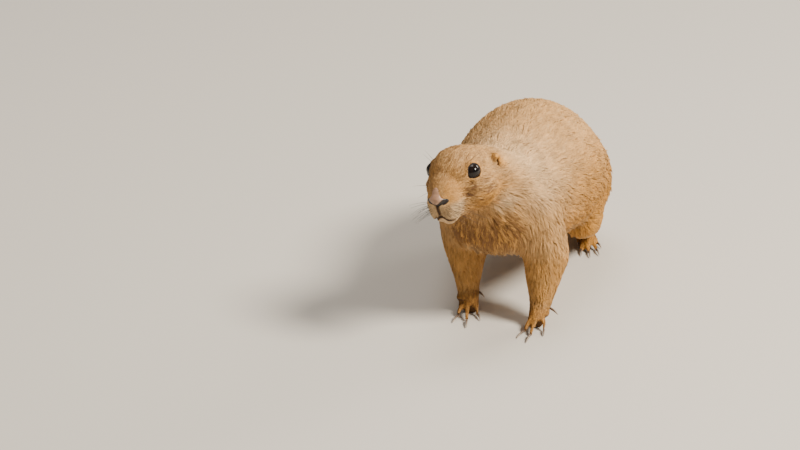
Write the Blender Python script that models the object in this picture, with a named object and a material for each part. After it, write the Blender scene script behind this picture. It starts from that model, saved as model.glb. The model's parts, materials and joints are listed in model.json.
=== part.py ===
"""A prairie dog standing on all fours, as a life-size still model in named solids.

Lengths are in millimetres until a shape is made, and metres after that. +X is the
animal's left, -Y is the way it faces and +Z is up. The solids give the outline out
to the tips of the coat. Each region is moulded whole from simple masses, smoothed,
and then parted by thin cuts, so that neighbours follow one shape and never overlap.
"""

import math

import bmesh
import bpy
from mathutils import Matrix, Vector

MM = 0.001

# Driving dimensions
GAP = 0.3
SHARP_ANGLE = 50.0
EYE_RADIUS = 6.0
EYE_PLACE = (15.1, 1.0, -0.5)
EAR_PLACE = (20.4, 26.0, -1.5)
FORE_CLAW_LENGTH = 12.0
HIND_CLAW_LENGTH = 9.5
CLAW_RADIUS = 1.15
CLAW_ROOT = 1.6
CLAW_DROP = 2.6
CLAW_TIP_HEIGHT = 0.75
FORE_TOE_RADIUS = 1.95
HIND_TOE_RADIUS = 2.1
WRIST_HEIGHT = 17.0
ELBOW_HEIGHT = 56.0
ANKLE_HEIGHT = 13.0
SOLE_SINK = 0.9

# The head's own frame stands midway between the eyes. It is turned and tipped on the body.
HEAD_PLACE = (-23.0, -115.0, 132.0)
HEAD_TURN = -14.0
HEAD_NOD = 2.0
HEAD_ROLL = -9.0

# Where the neck's cut crosses its middle line, and how it leans
NECK_PLACE = (-5.0, -72.0, 112.0)
NECK_NOD = -35.0
# Where along Y the dark end of the tail begins
TAIL_BAND = 192.0
# How far the trunk narrows upwards and swells downwards
TRUNK_PEAR = 0.15

# Left and right foot places on the floor: x, y of the wrist or heel, and the heading outwards
FORE_FEET = {"left": (30.0, -65.0, 3.0), "right": (-27.5, -53.5, -15.0)}
HIND_FEET = {"left": (17.5, 116.5, 18.0), "right": (-33.0, 112.0, 12.0)}
SIDES = {"left": 1, "right": -1}

# Body rings from chest to rump: x, y, z of the middle, half width, half height
TRUNK_RINGS = [
    (-3, -91, 97, 20, 17),
    (-3, -82, 94, 31, 28),
    (-4, -64, 90, 40, 38),
    (-5, -34, 87.5, 46.5, 43.5),
    (-5, 0, 83.5, 51.5, 49.5),
    (-6, 30, 80, 55, 52.5),
    (-6, 60, 73.5, 55, 50),
    (-6, 88, 66.5, 50, 41),
    (-5, 110, 57.5, 38, 30),
    (-4, 124, 50, 23, 17),
]
TAIL_RINGS = [
    (-3, 104, 58, 15, 15),
    (-4, 130, 44, 11, 11),
    (-7, 152, 26, 10, 9),
    (-11, 174, 11.5, 10, 7.5),
    (-15, 196, 5, 10.5, 6.5),
    (-18, 216, 4, 8.5, 5.5),
    (-19, 226, 3.8, 5, 4.2),
]

# Masses of the head in its own frame: middle, radii, nod in degrees. A mass off the
# middle line is made on both sides.
HEAD_MASSES = {
    "cranium": ((0, 9, -1), (21, 25, 15), 0),
    "brow": ((0, -3, 0.5), (16.5, 13, 10.5), 8),
    "cheek": ((12, 9, -15), (14.5, 20, 16), 0),
    "bridge": ((0, -13, -5), (10.5, 15.5, 9), 24),
    "muzzle": ((0, -14.5, -15), (13, 13.5, 12), 0),
    "lip": ((6.0, -16.5, -20.5), (8, 9.5, 7.8), 10),
    "chin": ((0, -11, -26.5), (9, 9.5, 6), -8),
    "jaw": ((0, 0, -20), (19, 19, 13), -4),
    "nose_base": ((0, -24.5, -12), (6, 4.8, 5), 20),
}

# Paw rings: ahead and inward of the wrist or heel, height, half width, half height
FORE_PALM = [
    (0, 0, 25, 8.6, 8.6),
    (0, 1.8, 15, 6.4, 7.2),
    (5, 2.0, 8.0, 6.2, 8.4),
    (10, 1.9, 5.6, 6.0, 6.1),
]
HIND_PALM = [
    (3, 0, 22, 8.8, 8.8),
    (0, 0, 8.5, 7.0, 7.8),
    (12, 0, 8.4, 6.8, 8.2),
    (24, 0, 6.8, 7.2, 5.6),
    (29, 0, 6.4, 7.2, 4.2),
]

# Each toe: label, root ahead of and inward of the wrist or heel, root height, fan outwards,
# reach, tip height, and its claw's share of the full length
TOES = {
    ("forepaw", "left"): [
        ("first", 2.0, 5.0, 5.5, -10.0, 4.5, 3.4, 0.4),
        ("second", 10.5, 5.4, 7.2, -15.0, 10.5, 1.9, 0.97),
        ("third", 12.0, 1.6, 7.6, -3.0, 14.5, 1.9, 1.0),
        ("fourth", 9.0, -4.4, 7.6, 10.0, 6.5, 1.9, 0.72),
        ("fifth", -2.0, -1.2, 16.5, 60.0, 6.5, 13.5, 0.72),
    ],
    ("forepaw", "right"): [
        ("first", -2.0, 4.0, 17.0, -56.0, 5.5, 13.8, 0.35),
        ("second", 9.0, 5.6, 7.4, -14.0, 6.5, 1.9, 0.72),
        ("third", 12.0, -0.4, 7.6, 2.0, 13.5, 1.9, 1.0),
        ("fourth", 9.5, -4.6, 7.3, 20.0, 8.0, 1.9, 0.97),
        ("fifth", 2.0, -5.0, 6.5, 14.0, 5.5, 3.6, 0.6),
    ],
}
HIND_TOES = [
    ("first", 20.0, 4.6, 4.8, -6.0, 10.0, 2.0, 0.75),
    ("second", 27.0, 3.6, 6.0, -3.0, 16.0, 2.0, 0.97),
    ("third", 28.0, -0.4, 6.4, 2.0, 18.5, 2.0, 1.0),
    ("fourth", 27.0, -4.4, 6.0, 10.0, 16.0, 2.0, 0.95),
    ("fifth", 20.0, -6.0, 5.0, 17.0, 11.0, 2.0, 0.8),
]
TOES["hind_foot", "left"] = HIND_TOES
TOES["hind_foot", "right"] = HIND_TOES

# Colour and roughness by the start of a node's name, first match taken
COLOURS = [
    ("eye", ((0.012, 0.008, 0.006), 0.12)),
    ("nose", ((0.05, 0.03, 0.025), 0.45)),
    ("claw", ((0.16, 0.11, 0.075), 0.35)),
    ("tail_tip", ((0.03, 0.02, 0.015), 0.9)),
    ("tail", ((0.47, 0.27, 0.12), 0.9)),
    ("ear", ((0.50, 0.30, 0.14), 0.85)),
    ("head", ((0.48, 0.30, 0.17), 0.9)),
    ("neck", ((0.60, 0.42, 0.27), 0.9)),
    ("trunk", ((0.57, 0.40, 0.25), 0.9)),
    ("upper_arm", ((0.56, 0.35, 0.17), 0.9)),
    ("thigh", ((0.54, 0.33, 0.16), 0.9)),
    ("", ((0.50, 0.28, 0.12), 0.9)),
]


def head_frame():
    """The head's place and turn on the body, as a matrix in metres."""
    turn = Matrix.Rotation(math.radians(HEAD_TURN), 4, "Z")
    nod = Matrix.Rotation(math.radians(HEAD_NOD), 4, "X")
    roll = Matrix.Rotation(math.radians(HEAD_ROLL), 4, "Y")
    return Matrix.Translation(Vector(HEAD_PLACE) * MM) @ turn @ nod @ roll


def link(name, bm):
    """A new object in the scene from a bmesh."""
    mesh = bpy.data.meshes.new(name)
    bm.to_mesh(mesh)
    bm.free()
    obj = bpy.data.objects.new(name, mesh)
    bpy.context.scene.collection.objects.link(obj)
    return obj


def remove(objects):
    for obj in objects:
        bpy.data.objects.remove(obj)


def ellipsoid(middle, radii, turn=None, fineness=3):
    """A closed ellipsoid with its own middle, radii and rotation matrix."""
    bm = bmesh.new()
    bmesh.ops.create_icosphere(bm, subdivisions=fineness, radius=1.0)
    size = Matrix.Diagonal((*(r * MM for r in radii), 1.0))
    place = Matrix.Translation(Vector(middle) * MM) @ (turn or Matrix.Identity(4)) @ size
    bmesh.ops.transform(bm, matrix=place, verts=bm.verts)
    return link("mass", bm)


def between(before, a, b, after, t):
    """A smooth curve's value from a to b, with the same slope on both sides of each."""
    return 0.5 * (
        2 * a
        + (b - before) * t
        + (2 * before - 5 * a + 4 * b - after) * t * t
        + (3 * a - before - 3 * b + after) * t * t * t
    )


def eased(rings, steps):
    """Rings read at even steps along a smooth curve through the given ones."""
    found = []
    last = len(rings) - 1
    for i in range(last):
        around = [rings[max(0, min(last, i + k))] for k in (-1, 0, 1, 2)]
        for step in range(steps):
            values = zip(*around)
            found.append(tuple(between(*v, step / steps) for v in values))
    return found + [tuple(rings[last])]


def tube(rings, sides=20, steps=4, side_axis=(1, 0, 0), pear=0.0, facing=None):
    """A closed tube through rings of (x, y, z, half width, half height).

    A pear above 0 draws each section in at the top and lets it out at the bottom. Sections
    stand square to the run of the tube, or all face the same way where that is given.
    """
    rings = eased(rings, steps)
    places = [Vector(r[:3]) for r in rings]
    bm = bmesh.new()
    loops = []
    for i, ring in enumerate(rings):
        along = places[min(i + 1, len(rings) - 1)] - places[max(i - 1, 0)]
        along = Vector(facing) if facing else along.normalized()
        across = Vector(side_axis)
        across = (across - along * across.dot(along)).normalized()
        upward = across.cross(along)
        loop = []
        for k in range(sides):
            angle = math.tau * k / sides
            width = ring[3] * (1 - pear * math.sin(angle))
            out = across * width * math.cos(angle) + upward * ring[4] * math.sin(angle)
            loop.append(bm.verts.new((places[i] + out) * MM))
        loops.append(loop)
    for first, second in zip(loops, loops[1:]):
        for k in range(sides):
            n = (k + 1) % sides
            bm.faces.new((first[k], first[n], second[n]))
            bm.faces.new((first[k], second[n], second[k]))
    for loop in (loops[0], loops[-1]):
        bm.faces.new(loop)
    bmesh.ops.recalc_face_normals(bm, faces=bm.faces)
    return link("tube", bm)


def evaluated(obj, name):
    """The object as its modifiers leave it, under a new name. The first one is removed."""
    graph = bpy.context.evaluated_depsgraph_get()
    mesh = bpy.data.meshes.new_from_object(obj.evaluated_get(graph), depsgraph=graph)
    bpy.data.objects.remove(obj)
    made = bpy.data.objects.new(name, mesh)
    bpy.context.scene.collection.objects.link(made)
    return made


def mould(name, masses, voxel, smoothing):
    """Masses pressed into one closed body, with its joins smoothed."""
    bm = bmesh.new()
    for mass in masses:
        bm.from_mesh(mass.data)
    remove(masses)
    body = link(name, bm)
    remesh = body.modifiers.new("press", "REMESH")
    remesh.mode = "VOXEL"
    remesh.voxel_size = voxel * MM
    smooth = body.modifiers.new("smooth", "SMOOTH")
    smooth.factor = 0.5
    smooth.iterations = smoothing
    return evaluated(body, name)


def thinned(obj, triangles):
    """The same shape with about so many triangles."""
    obj.data.calc_loop_triangles()
    thin = obj.modifiers.new("thin", "DECIMATE")
    thin.ratio = min(1.0, triangles / len(obj.data.loop_triangles))
    return evaluated(obj, obj.name)


def cut(obj, operation, tools):
    """The object after a Boolean with each tool in turn. The tools are left as they are."""
    for tool in tools:
        step = obj.modifiers.new("cut", "BOOLEAN")
        step.operation = operation
        step.object = tool
    return evaluated(obj, obj.name)


def copy_of(obj, name):
    made = bpy.data.objects.new(name, obj.data.copy())
    bpy.context.scene.collection.objects.link(made)
    return made


def block(low, high, frame=None):
    """A plain box between two corners, in a frame of its own, used as a cutter."""
    bm = bmesh.new()
    bmesh.ops.create_cube(bm, size=1.0)
    low, high = Vector(low) * MM, Vector(high) * MM
    size = Matrix.Diagonal((*(high - low), 1.0))
    place = (frame or Matrix.Identity(4)) @ Matrix.Translation((low + high) / 2) @ size
    bmesh.ops.transform(bm, matrix=place, verts=bm.verts)
    return link("block", bm)


def frame_at(place, nod=0.0, turn=0.0):
    """A frame at a place in millimetres, turned about Z and then tipped about its X."""
    tip = Matrix.Rotation(math.radians(nod), 4, "X")
    return Matrix.Translation(Vector(place) * MM) @ Matrix.Rotation(math.radians(turn), 4, "Z") @ tip


def head_point(x, y, z):
    """A point given in the head's frame, in body millimetres."""
    return head_frame() @ (Vector((x, y, z)) * MM) / MM


def head_masses():
    """The skull's, muzzle's and cheeks' masses, in place on the body."""
    frame = head_frame()
    found = []
    for middle, radii, nod in HEAD_MASSES.values():
        sides = (1, -1) if middle[0] else (1,)
        for side in sides:
            lean = Matrix.Rotation(math.radians(nod), 4, "X")
            mass = ellipsoid((middle[0] * side, *middle[1:]), radii, lean)
            mass.data.transform(frame)
            found.append(mass)
    return found


def neck_tube():
    skull = head_point(0, 12, -6)
    nape = head_point(2, 30, -15)
    rings = [
        (*skull, 20, 17),
        (*nape, 27, 24),
        (-6, -72, 103, 36, 32),
        (-5, -46, 88, 41, 38),
    ]
    return tube(rings)


def foreleg_rings(side, spread=0.0):
    """Shoulder, elbow and wrist, down into the palm. The spread widens the free part."""
    sign = SIDES[side]
    wrist_x, wrist_y, _ = FORE_FEET[side]
    some = 0.3 * spread
    return [
        (-4 + sign * 25, -62, 97, 15 + spread, 21 + some),
        (-3 + sign * 31, wrist_y + 6, 74, 17.5 + spread, 19 + some),
        (wrist_x + sign * 3 - 1.5, wrist_y + 8, 50, 17.5 + spread, 15.5 + spread),
        (wrist_x + sign * 1 - 0.8, wrist_y + 4, 32, 12.5 + spread, 12 + spread),
        (wrist_x, wrist_y, WRIST_HEIGHT, 8 + spread, 8 + spread),
        (wrist_x, wrist_y - 5, 8, 8 + spread, 6.5 + spread),
    ]


def shank_rings(side, spread=0.0):
    """Knee to heel, folded low beside the belly."""
    sign = SIDES[side]
    heel_x, heel_y, _ = HIND_FEET[side]
    return [
        (-4 + sign * 33, 52, 33, 13 + spread, 14 + spread),
        (-4 + sign * 34, 78, 25, 12.5 + spread, 13.5 + spread),
        (heel_x + sign * 5, heel_y - 12, 20, 10 + spread, 11 + spread),
        (heel_x, heel_y, 9, 7.5 + spread, 7.5 + spread),
    ]


def haunch(side):
    lean = Matrix.Rotation(math.radians(-12), 4, "X")
    return ellipsoid((-5 + SIDES[side] * 30, 78, 57), (23, 34, 33.5), lean)


def digit(root, heading, reach, tip_height, radius):
    """A toe from its root on the paw to its tip, arched over one knuckle. Heading 0 is -Y."""
    ahead = Vector((math.sin(heading), -math.cos(heading), 0))
    tip = root + ahead * reach
    tip.z = tip_height
    knuckle = (root * 0.55 + tip * 0.45) + Vector((0, 0, 1.3))
    rings = [
        (*root, radius * 1.15, radius * 1.15),
        (*knuckle, radius * 1.05, radius * 1.05),
        (*tip, radius * 0.9, radius * 0.9),
    ]
    across = Vector((math.cos(heading), math.sin(heading), 0))
    return tube(rings, sides=10, side_axis=across), tip, ahead


def claw(name, tip, ahead, length, spare=0.0):
    """A tapered claw that leaves the toe forwards and curves down. Spare room makes its socket."""
    rings = []
    start = tip - ahead * (CLAW_ROOT + spare) + Vector((0, 0, 0.9))
    low = max(CLAW_TIP_HEIGHT, tip.z - CLAW_DROP)
    for t in (0.0, 0.5, 1.0):
        place = start + ahead * (length + CLAW_ROOT + spare) * t
        place.z = start.z * (1 - t) + low * t + 1.5 * math.sin(math.pi * t) * (1 - 0.3 * t)
        size = CLAW_RADIUS * (1 - t) ** 0.6 + 0.32 * t + spare
        rings.append((*place, size * 0.85, size))
    across = Vector((-ahead.y, ahead.x, 0))
    made = tube(rings, sides=6, steps=1, side_axis=across)
    made.name = name
    return made


def foot_frame(kind, side):
    """The foot's place on the floor with its ahead and inward directions."""
    sign = SIDES[side]
    x, y, outward = (FORE_FEET if kind == "forepaw" else HIND_FEET)[side]
    heading = math.radians(outward) * sign
    ahead = Vector((math.sin(heading), -math.cos(heading), 0))
    inward = Vector((-math.cos(heading), -math.sin(heading), 0)) * sign
    return Vector((x, y, 0)), heading, ahead, inward


def foot(kind, side):
    """A paw's masses, and for each claw its name, tip, direction and length."""
    ankle, heading, ahead, inward = foot_frame(kind, side)
    fore = kind == "forepaw"
    palm = [
        (*(ankle + ahead * forward + inward * beside + Vector((0, 0, height))), half_width, half_height)
        for forward, beside, height, half_width, half_height in (FORE_PALM if fore else HIND_PALM)
    ]
    across = Vector((math.cos(heading), math.sin(heading), 0))
    masses = [tube(palm, sides=14, side_axis=across)]
    claws = []
    full = FORE_CLAW_LENGTH if fore else HIND_CLAW_LENGTH
    radius = FORE_TOE_RADIUS if fore else HIND_TOE_RADIUS
    for label, forward, beside, height, fan, reach, tip, share in TOES[kind, side]:
        root = ankle + ahead * forward + inward * beside + Vector((0, 0, height))
        way = heading + math.radians(fan) * SIDES[side]
        toe, end, toe_ahead = digit(root, way, reach, tip, radius * (0.72 + 0.28 * share))
        masses.append(toe)
        end = end - Vector((0, 0, SOLE_SINK))
        claws.append((f"claw_{kind}_{side}_{label}", end, toe_ahead, full * share))
    for mass in masses:
        mass.data.transform(Matrix.Translation((0, 0, -SOLE_SINK * MM)))
    return masses, claws


def flesh_body():
    """The whole animal as one closed body, its soles a little below the floor."""
    torso = [tube(TRUNK_RINGS, sides=28, pear=TRUNK_PEAR), neck_tube(), tube(TAIL_RINGS, sides=14)]
    torso += head_masses()
    limbs = []
    claws = {}
    for side in SIDES:
        torso += [tube(foreleg_rings(side), sides=14), tube(shank_rings(side), sides=14)]
        torso.append(haunch(side))
        limbs += [tube(foreleg_rings(side)[2:], sides=14), tube(shank_rings(side)[2:], sides=14)]
        for kind in ("forepaw", "hind_foot"):
            masses, found = foot(kind, side)
            limbs += masses
            claws[kind, side] = found
    soft = mould("torso", torso, voxel=2.0, smoothing=50)
    details = head_masses() + [tube(TAIL_RINGS, sides=14)]
    return mould("flesh", [soft] + details + limbs, voxel=1.0, smoothing=5), claws


def largest(obj):
    """The object without any crumbs that a cut left loose."""
    bm = bmesh.new()
    bm.from_mesh(obj.data)
    left = set(bm.verts)
    islands = []
    while left:
        island = {left.pop()}
        front = list(island)
        while front:
            near = {e.other_vert(v) for v in front for e in v.link_edges} - island
            island |= near
            left -= near
            front = list(near)
        islands.append(island)
    islands.sort(key=len, reverse=True)
    for island in islands[1:]:
        bmesh.ops.delete(bm, geom=list(island), context="VERTS")
    bm.to_mesh(obj.data)
    bm.free()
    return obj


def piece(name, flesh, room, triangles, inside=(), outside=()):
    """One node of the animal: its room of the flesh, thinned, then cut to its own bounds."""
    body = copy_of(flesh, name)
    body = cut(body, "INTERSECT", [room])
    body = thinned(body, triangles)
    if inside:
        body = cut(body, "INTERSECT", inside)
    if outside:
        body = cut(body, "DIFFERENCE", outside)
    remove([room])
    return largest(body)


def half(frame, ahead, away=0.0):
    """A large cutter on one side of a frame's XZ plane, some way off from it."""
    far = 400
    if ahead:
        return block((-far, -far, -far), (far, -away, far), frame)
    return block((-far, away, -far), (far, far, far), frame)


def layer(bottom, top, low=(-300, -300), high=(300, 400)):
    """A cutter between two heights above the floor."""
    return block((*low, bottom), (*high, top))


def ball(name, middle, radius, look, rings=8, sides=12):
    """A sphere whose poles lie along the way it looks."""
    bm = bmesh.new()
    bmesh.ops.create_uvsphere(bm, u_segments=sides, v_segments=rings, radius=radius * MM)
    turn = Vector(look).to_track_quat("Z", "Y").to_matrix().to_4x4()
    bmesh.ops.transform(bm, matrix=Matrix.Translation(Vector(middle) * MM) @ turn, verts=bm.verts)
    obj = link(name, bm)
    obj.data.transform(head_frame())
    return obj


def ear_mass(name, sign, spare=0.0, fineness=2):
    """An ear's rounded outer form, leaning back on the head."""
    turn = Matrix.Rotation(math.radians(18 * sign), 4, "Z") @ Matrix.Rotation(math.radians(-20), 4, "X")
    x, y, z = EAR_PLACE
    obj = ellipsoid((x * sign, y, z), (3.2 + spare, 4.8 + spare, 5.4 + spare), turn, fineness)
    obj.data.transform(head_frame())
    obj.name = name
    return obj


def ear(name, sign):
    """A small ear with a shallow cup that opens outwards and forwards."""
    body = ear_mass(name, sign)
    x, y, z = EAR_PLACE
    cup = ellipsoid(((x + 3.2) * sign, y - 1.0, z + 0.4), (2.4, 2.7, 3.4), None, 1)
    cup.data.transform(head_frame())
    body = cut(body, "DIFFERENCE", [cup])
    remove([cup])
    return thinned(body, 90)


def nose_pad(name, spare=0.0):
    lean = Matrix.Rotation(math.radians(22), 4, "X")
    obj = ellipsoid((0, -27.4, -12.6), (5.4 + spare, 3.2 + spare, 4.2 + spare), lean, 2)
    obj.data.transform(head_frame())
    obj.name = name
    return obj


def nose():
    """The nose pad with a comma of a nostril on each side."""
    pad = nose_pad("nose")
    dents = []
    for sign in (1, -1):
        turn = Matrix.Rotation(math.radians(34 * sign), 4, "Y")
        dent = ellipsoid((3.2 * sign, -29.6, -13.2), (2.1, 1.4, 0.9), turn, 1)
        dent.data.transform(head_frame())
        dents.append(dent)
    pad = cut(pad, "DIFFERENCE", dents)
    remove(dents)
    return thinned(pad, 130)


def head_and_neck(flesh):
    """Head with its eyes, ears and nose, and the neck behind it."""
    tip = Matrix.Rotation(math.radians(-27), 4, "X")
    poll = head_frame() @ Matrix.Translation(Vector((0, 27, -12)) * MM) @ tip
    collar = frame_at(NECK_PLACE, nod=NECK_NOD)
    made = []
    sockets = [nose_pad("socket", GAP)]
    for side, sign in SIDES.items():
        x, y, z = EYE_PLACE
        look = (sign * 0.9, -0.38, 0.16)
        made.append(ball(f"eye_{side}", (x * sign, y, z), EYE_RADIUS, look))
        made.append(ear(f"ear_{side}", sign))
        sockets.append(ball("socket", (x * sign, y, z), EYE_RADIUS + GAP, look))
        sockets.append(ear_mass("socket", sign, GAP))
    made.append(nose())
    front = half(poll, True)
    made.append(piece("head", flesh, half(poll, True, -4), 860, [front], sockets))
    cells = [fore_cell(side, GAP) for side in SIDES]
    behind = half(poll, False, GAP)
    before = half(collar, True)
    room = cut(half(poll, False, -4), "INTERSECT", [before])
    made.append(piece("neck", flesh, room, 230, [behind, before], cells))
    remove(cells + sockets + [front, behind, before])
    return made


def fore_cell(side, spare=0.0):
    """The room a foreleg takes, from inside the shoulder down past the wrist."""
    rings = foreleg_rings(side, 6.0)
    x, y, z, half_width, half_height = rings[0]
    rings = [(x, y, z + 9 + spare, half_width * 0.55, half_height * 0.55)] + rings
    rings = [(*ring[:3], ring[3] + spare, ring[4] + spare) for ring in rings]
    return tube(rings, sides=14, steps=2, facing=(0, 0, -1))


def thigh_cell(side, spare=0.0):
    """The room a thigh takes on the flank, drawn in towards its root."""
    radii = (42 + spare, 31 + spare, 33 + spare)
    return ellipsoid((-5 + SIDES[side] * 48, 80, 57), radii, fineness=2)


def shank_cell(side, spare=0.0):
    """The room a folded shank takes, out past the knee and the heel."""
    rings = shank_rings(side, 3.0)
    x, y, z, half_width, half_height = rings[0]
    rings = [(x, y - 8 - spare, z, half_width * 0.6, half_height * 0.6)] + rings
    x, y, z, half_width, half_height = rings[-1]
    rings = rings + [(x, y + 8 + spare, z - 2, half_width, half_height)]
    rings = [(*ring[:3], ring[3] + spare, ring[4] + spare) for ring in rings]
    return tube(rings, sides=12, steps=1, facing=(0, 1, 0))


def tail_cell(spare=0.0):
    """The room the tail takes, from its root in the rump out past its tip."""
    rings = [(*ring[:3], ring[3] + 3 + spare, ring[4] + 6 + spare) for ring in TAIL_RINGS[1:]]
    x, y, z, half_width, half_height = rings[0]
    rings[0] = (x, y - 10 - spare, z + 6, half_width, half_height)
    x, y, z, half_width, half_height = rings[-1]
    rings.append((x + 3, y + 16, z, half_width, half_height))
    return tube(rings, sides=16, steps=2, facing=(0, 1, 0))


def limbs(flesh, claws):
    """Arms, forearms, paws, thighs, shanks and hind feet, with every claw in its socket."""
    made = []
    for side, sign in SIDES.items():
        cell = fore_cell(side)
        upper = layer(ELBOW_HEIGHT + GAP, 200)
        middle = layer(WRIST_HEIGHT + GAP, ELBOW_HEIGHT)
        room = fore_cell(side, 3.0)
        made.append(piece(f"upper_arm_{side}", flesh, room, 130, [cell, upper]))
        band = layer(WRIST_HEIGHT - 3, ELBOW_HEIGHT + 3)
        room = cut(fore_cell(side, 3.0), "INTERSECT", [band])
        made.append(piece(f"forearm_{side}", flesh, room, 110, [cell, middle]))
        remove([cell, upper, middle, band])
        shin = shank_cell(side)
        above = layer(ANKLE_HEIGHT + GAP, 200)
        room = shank_cell(side, 3.0)
        made.append(piece(f"shank_{side}", flesh, room, 150, [shin, above]))
        thigh = thigh_cell(side)
        room = thigh_cell(side, 4.0)
        shin_room = shank_cell(side, GAP)
        made.append(piece(f"thigh_{side}", flesh, room, 130, [thigh, above], [shin_room]))
        remove([shin, above, thigh, shin_room])
        for kind, top, triangles in (("forepaw", WRIST_HEIGHT, 335), ("hind_foot", ANKLE_HEIGHT, 225)):
            ankle, _, ahead, _ = foot_frame(kind, side)
            middle = ankle + ahead * 20
            low = (middle.x - 26, middle.y - 45)
            high = (middle.x + 26, middle.y + 45)
            sockets = []
            for name, tip, way, length in claws[kind, side]:
                made.append(claw(name, tip, way, length))
                sockets.append(claw("socket", tip, way, length, GAP))
            below = layer(0, top, low, high)
            room = layer(-5, top + 3, low, high)
            made.append(piece(f"{kind}_{side}", flesh, room, triangles, [below], sockets))
            remove(sockets + [below])
    return made


def trunk_and_tail(flesh):
    collar = frame_at(NECK_PLACE, nod=NECK_NOD)
    behind = half(collar, False, GAP)
    above = layer(ANKLE_HEIGHT + 4, 200)
    cells = [tail_cell(GAP)]
    for side in SIDES:
        cells += [fore_cell(side, GAP), shank_cell(side, GAP), thigh_cell(side, GAP)]
    made = [piece("trunk", flesh, half(collar, False, -4), 720, [behind, above], cells)]
    cell = tail_cell()
    floor = layer(0, 200)
    band = frame_at((0, TAIL_BAND, 0))
    before = half(band, True)
    after = half(band, False, GAP)
    made.append(piece("tail", flesh, tail_cell(3.0), 200, [cell, before, floor]))
    made.append(piece("tail_tip", flesh, tail_cell(3.0), 240, [cell, after, floor]))
    remove(cells + [cell, floor, before, after, behind, above])
    return made


def paint(obj):
    """A plain material of the node's own, in the colour of its place on the animal."""
    tone = next(tone for start, tone in COLOURS if obj.name.startswith(start))
    colour, roughness = tone
    material = bpy.data.materials.new(obj.name)
    material.use_nodes = True
    shader = material.node_tree.nodes["Principled BSDF"]
    shader.inputs["Base Color"].default_value = (*colour, 1.0)
    shader.inputs["Roughness"].default_value = roughness
    shader.inputs["Metallic"].default_value = 0.0
    obj.data.materials.clear()
    obj.data.materials.append(material)


def centre_on_floor(nodes):
    """Moves all so that the middle of the floor plan is the origin."""
    places = [v.co for node in nodes for v in node.data.vertices]
    spans = [(min(p[i] for p in places), max(p[i] for p in places)) for i in range(3)]
    shift = Vector((-sum(spans[0]) / 2, -sum(spans[1]) / 2, -spans[2][0]))
    for node in nodes:
        node.data.transform(Matrix.Translation(shift))
        node.data.update()


def finish(nodes):
    """Paints each node, shades its round parts smooth and hangs it on one empty."""
    animal = bpy.data.objects.new("animal", None)
    bpy.context.scene.collection.objects.link(animal)
    for node in nodes:
        paint(node)
        node.data.shade_smooth()
        node.data.set_sharp_from_angle(angle=math.radians(SHARP_ANGLE))
        node.parent = animal


def build():
    bpy.context.scene.unit_settings.scale_length = 1.0
    flesh, claws = flesh_body()
    nodes = head_and_neck(flesh) + trunk_and_tail(flesh) + limbs(flesh, claws)
    remove([flesh])
    centre_on_floor(nodes)
    finish(nodes)


if __name__ == "__main__":
    for old in list(bpy.data.objects):
        bpy.data.objects.remove(old)
    build()
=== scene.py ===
# %% [markdown]
# # A prairie dog, as a museum's life-size model
# The animal stands on all fours with its head turned a little. Its coat is built over one
# smooth skin, tuft by tuft, so this lesson goes from the inside out: the frame, the camera,
# the skin, the eyes, nose and claws, and last the fur that gives the animal its outline.

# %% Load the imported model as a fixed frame
import json
import math

import bmesh
import bpy
import numpy as np
from mathutils import Matrix, Vector
from mathutils.bvhtree import BVHTree
from mathutils.kdtree import KDTree

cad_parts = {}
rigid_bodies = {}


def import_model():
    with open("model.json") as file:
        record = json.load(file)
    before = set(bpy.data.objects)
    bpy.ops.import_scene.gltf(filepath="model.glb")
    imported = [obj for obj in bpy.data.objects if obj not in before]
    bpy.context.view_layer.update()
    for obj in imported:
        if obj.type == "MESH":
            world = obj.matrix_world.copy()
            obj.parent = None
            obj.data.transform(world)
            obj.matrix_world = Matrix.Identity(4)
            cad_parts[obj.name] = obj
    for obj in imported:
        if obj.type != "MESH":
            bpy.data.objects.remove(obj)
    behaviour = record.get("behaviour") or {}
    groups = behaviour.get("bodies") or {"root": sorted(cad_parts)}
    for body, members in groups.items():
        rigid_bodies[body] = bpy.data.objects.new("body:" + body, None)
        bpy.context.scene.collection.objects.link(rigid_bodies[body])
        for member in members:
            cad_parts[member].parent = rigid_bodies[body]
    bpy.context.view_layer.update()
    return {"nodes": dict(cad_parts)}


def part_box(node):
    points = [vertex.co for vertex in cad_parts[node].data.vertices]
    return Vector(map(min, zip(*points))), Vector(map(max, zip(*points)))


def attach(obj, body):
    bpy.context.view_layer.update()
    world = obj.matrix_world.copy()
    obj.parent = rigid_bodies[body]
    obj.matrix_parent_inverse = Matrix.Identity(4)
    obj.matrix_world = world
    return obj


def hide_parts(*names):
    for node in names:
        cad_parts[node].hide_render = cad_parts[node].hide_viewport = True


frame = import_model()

MM = 0.001
NODES = frame["nodes"]

# %% [markdown]
# ## Small helpers
# Operators act on whatever is selected, so each step first clears the selection and then
# picks its own object. Modifiers are applied as soon as they are set. Shapes are worked out
# on arrays of points in millimetres.

# %% Selecting and applying
def pick(*objects):
    """Selects only these objects and makes the first one active."""
    for other in bpy.data.objects:
        other.select_set(False)
    for obj in objects:
        obj.select_set(True)
    bpy.context.view_layer.objects.active = objects[0]


def apply_modifier(obj, kind, **settings):
    """Adds one modifier with these settings and applies it."""
    pick(obj)
    step = obj.modifiers.new(kind.lower(), kind)
    for name, value in settings.items():
        setattr(step, name, value)
    bpy.ops.object.modifier_apply(modifier=step.name)


def new_object(name, mesh):
    """Puts a mesh into the scene under a name."""
    obj = bpy.data.objects.new(name, mesh)
    bpy.context.scene.collection.objects.link(obj)
    return obj


print("nodes in the frame:", len(NODES))

# %% Meshes as arrays
def read_values(items, key, columns, kind=np.float64):
    """One property of all of a mesh's points, edges or faces, in rows."""
    values = np.empty(len(items) * columns, kind)
    items.foreach_get(key, values)
    return values.reshape(-1, columns)


def read_points(mesh):
    return read_values(mesh.vertices, "co", 3) / MM


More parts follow.
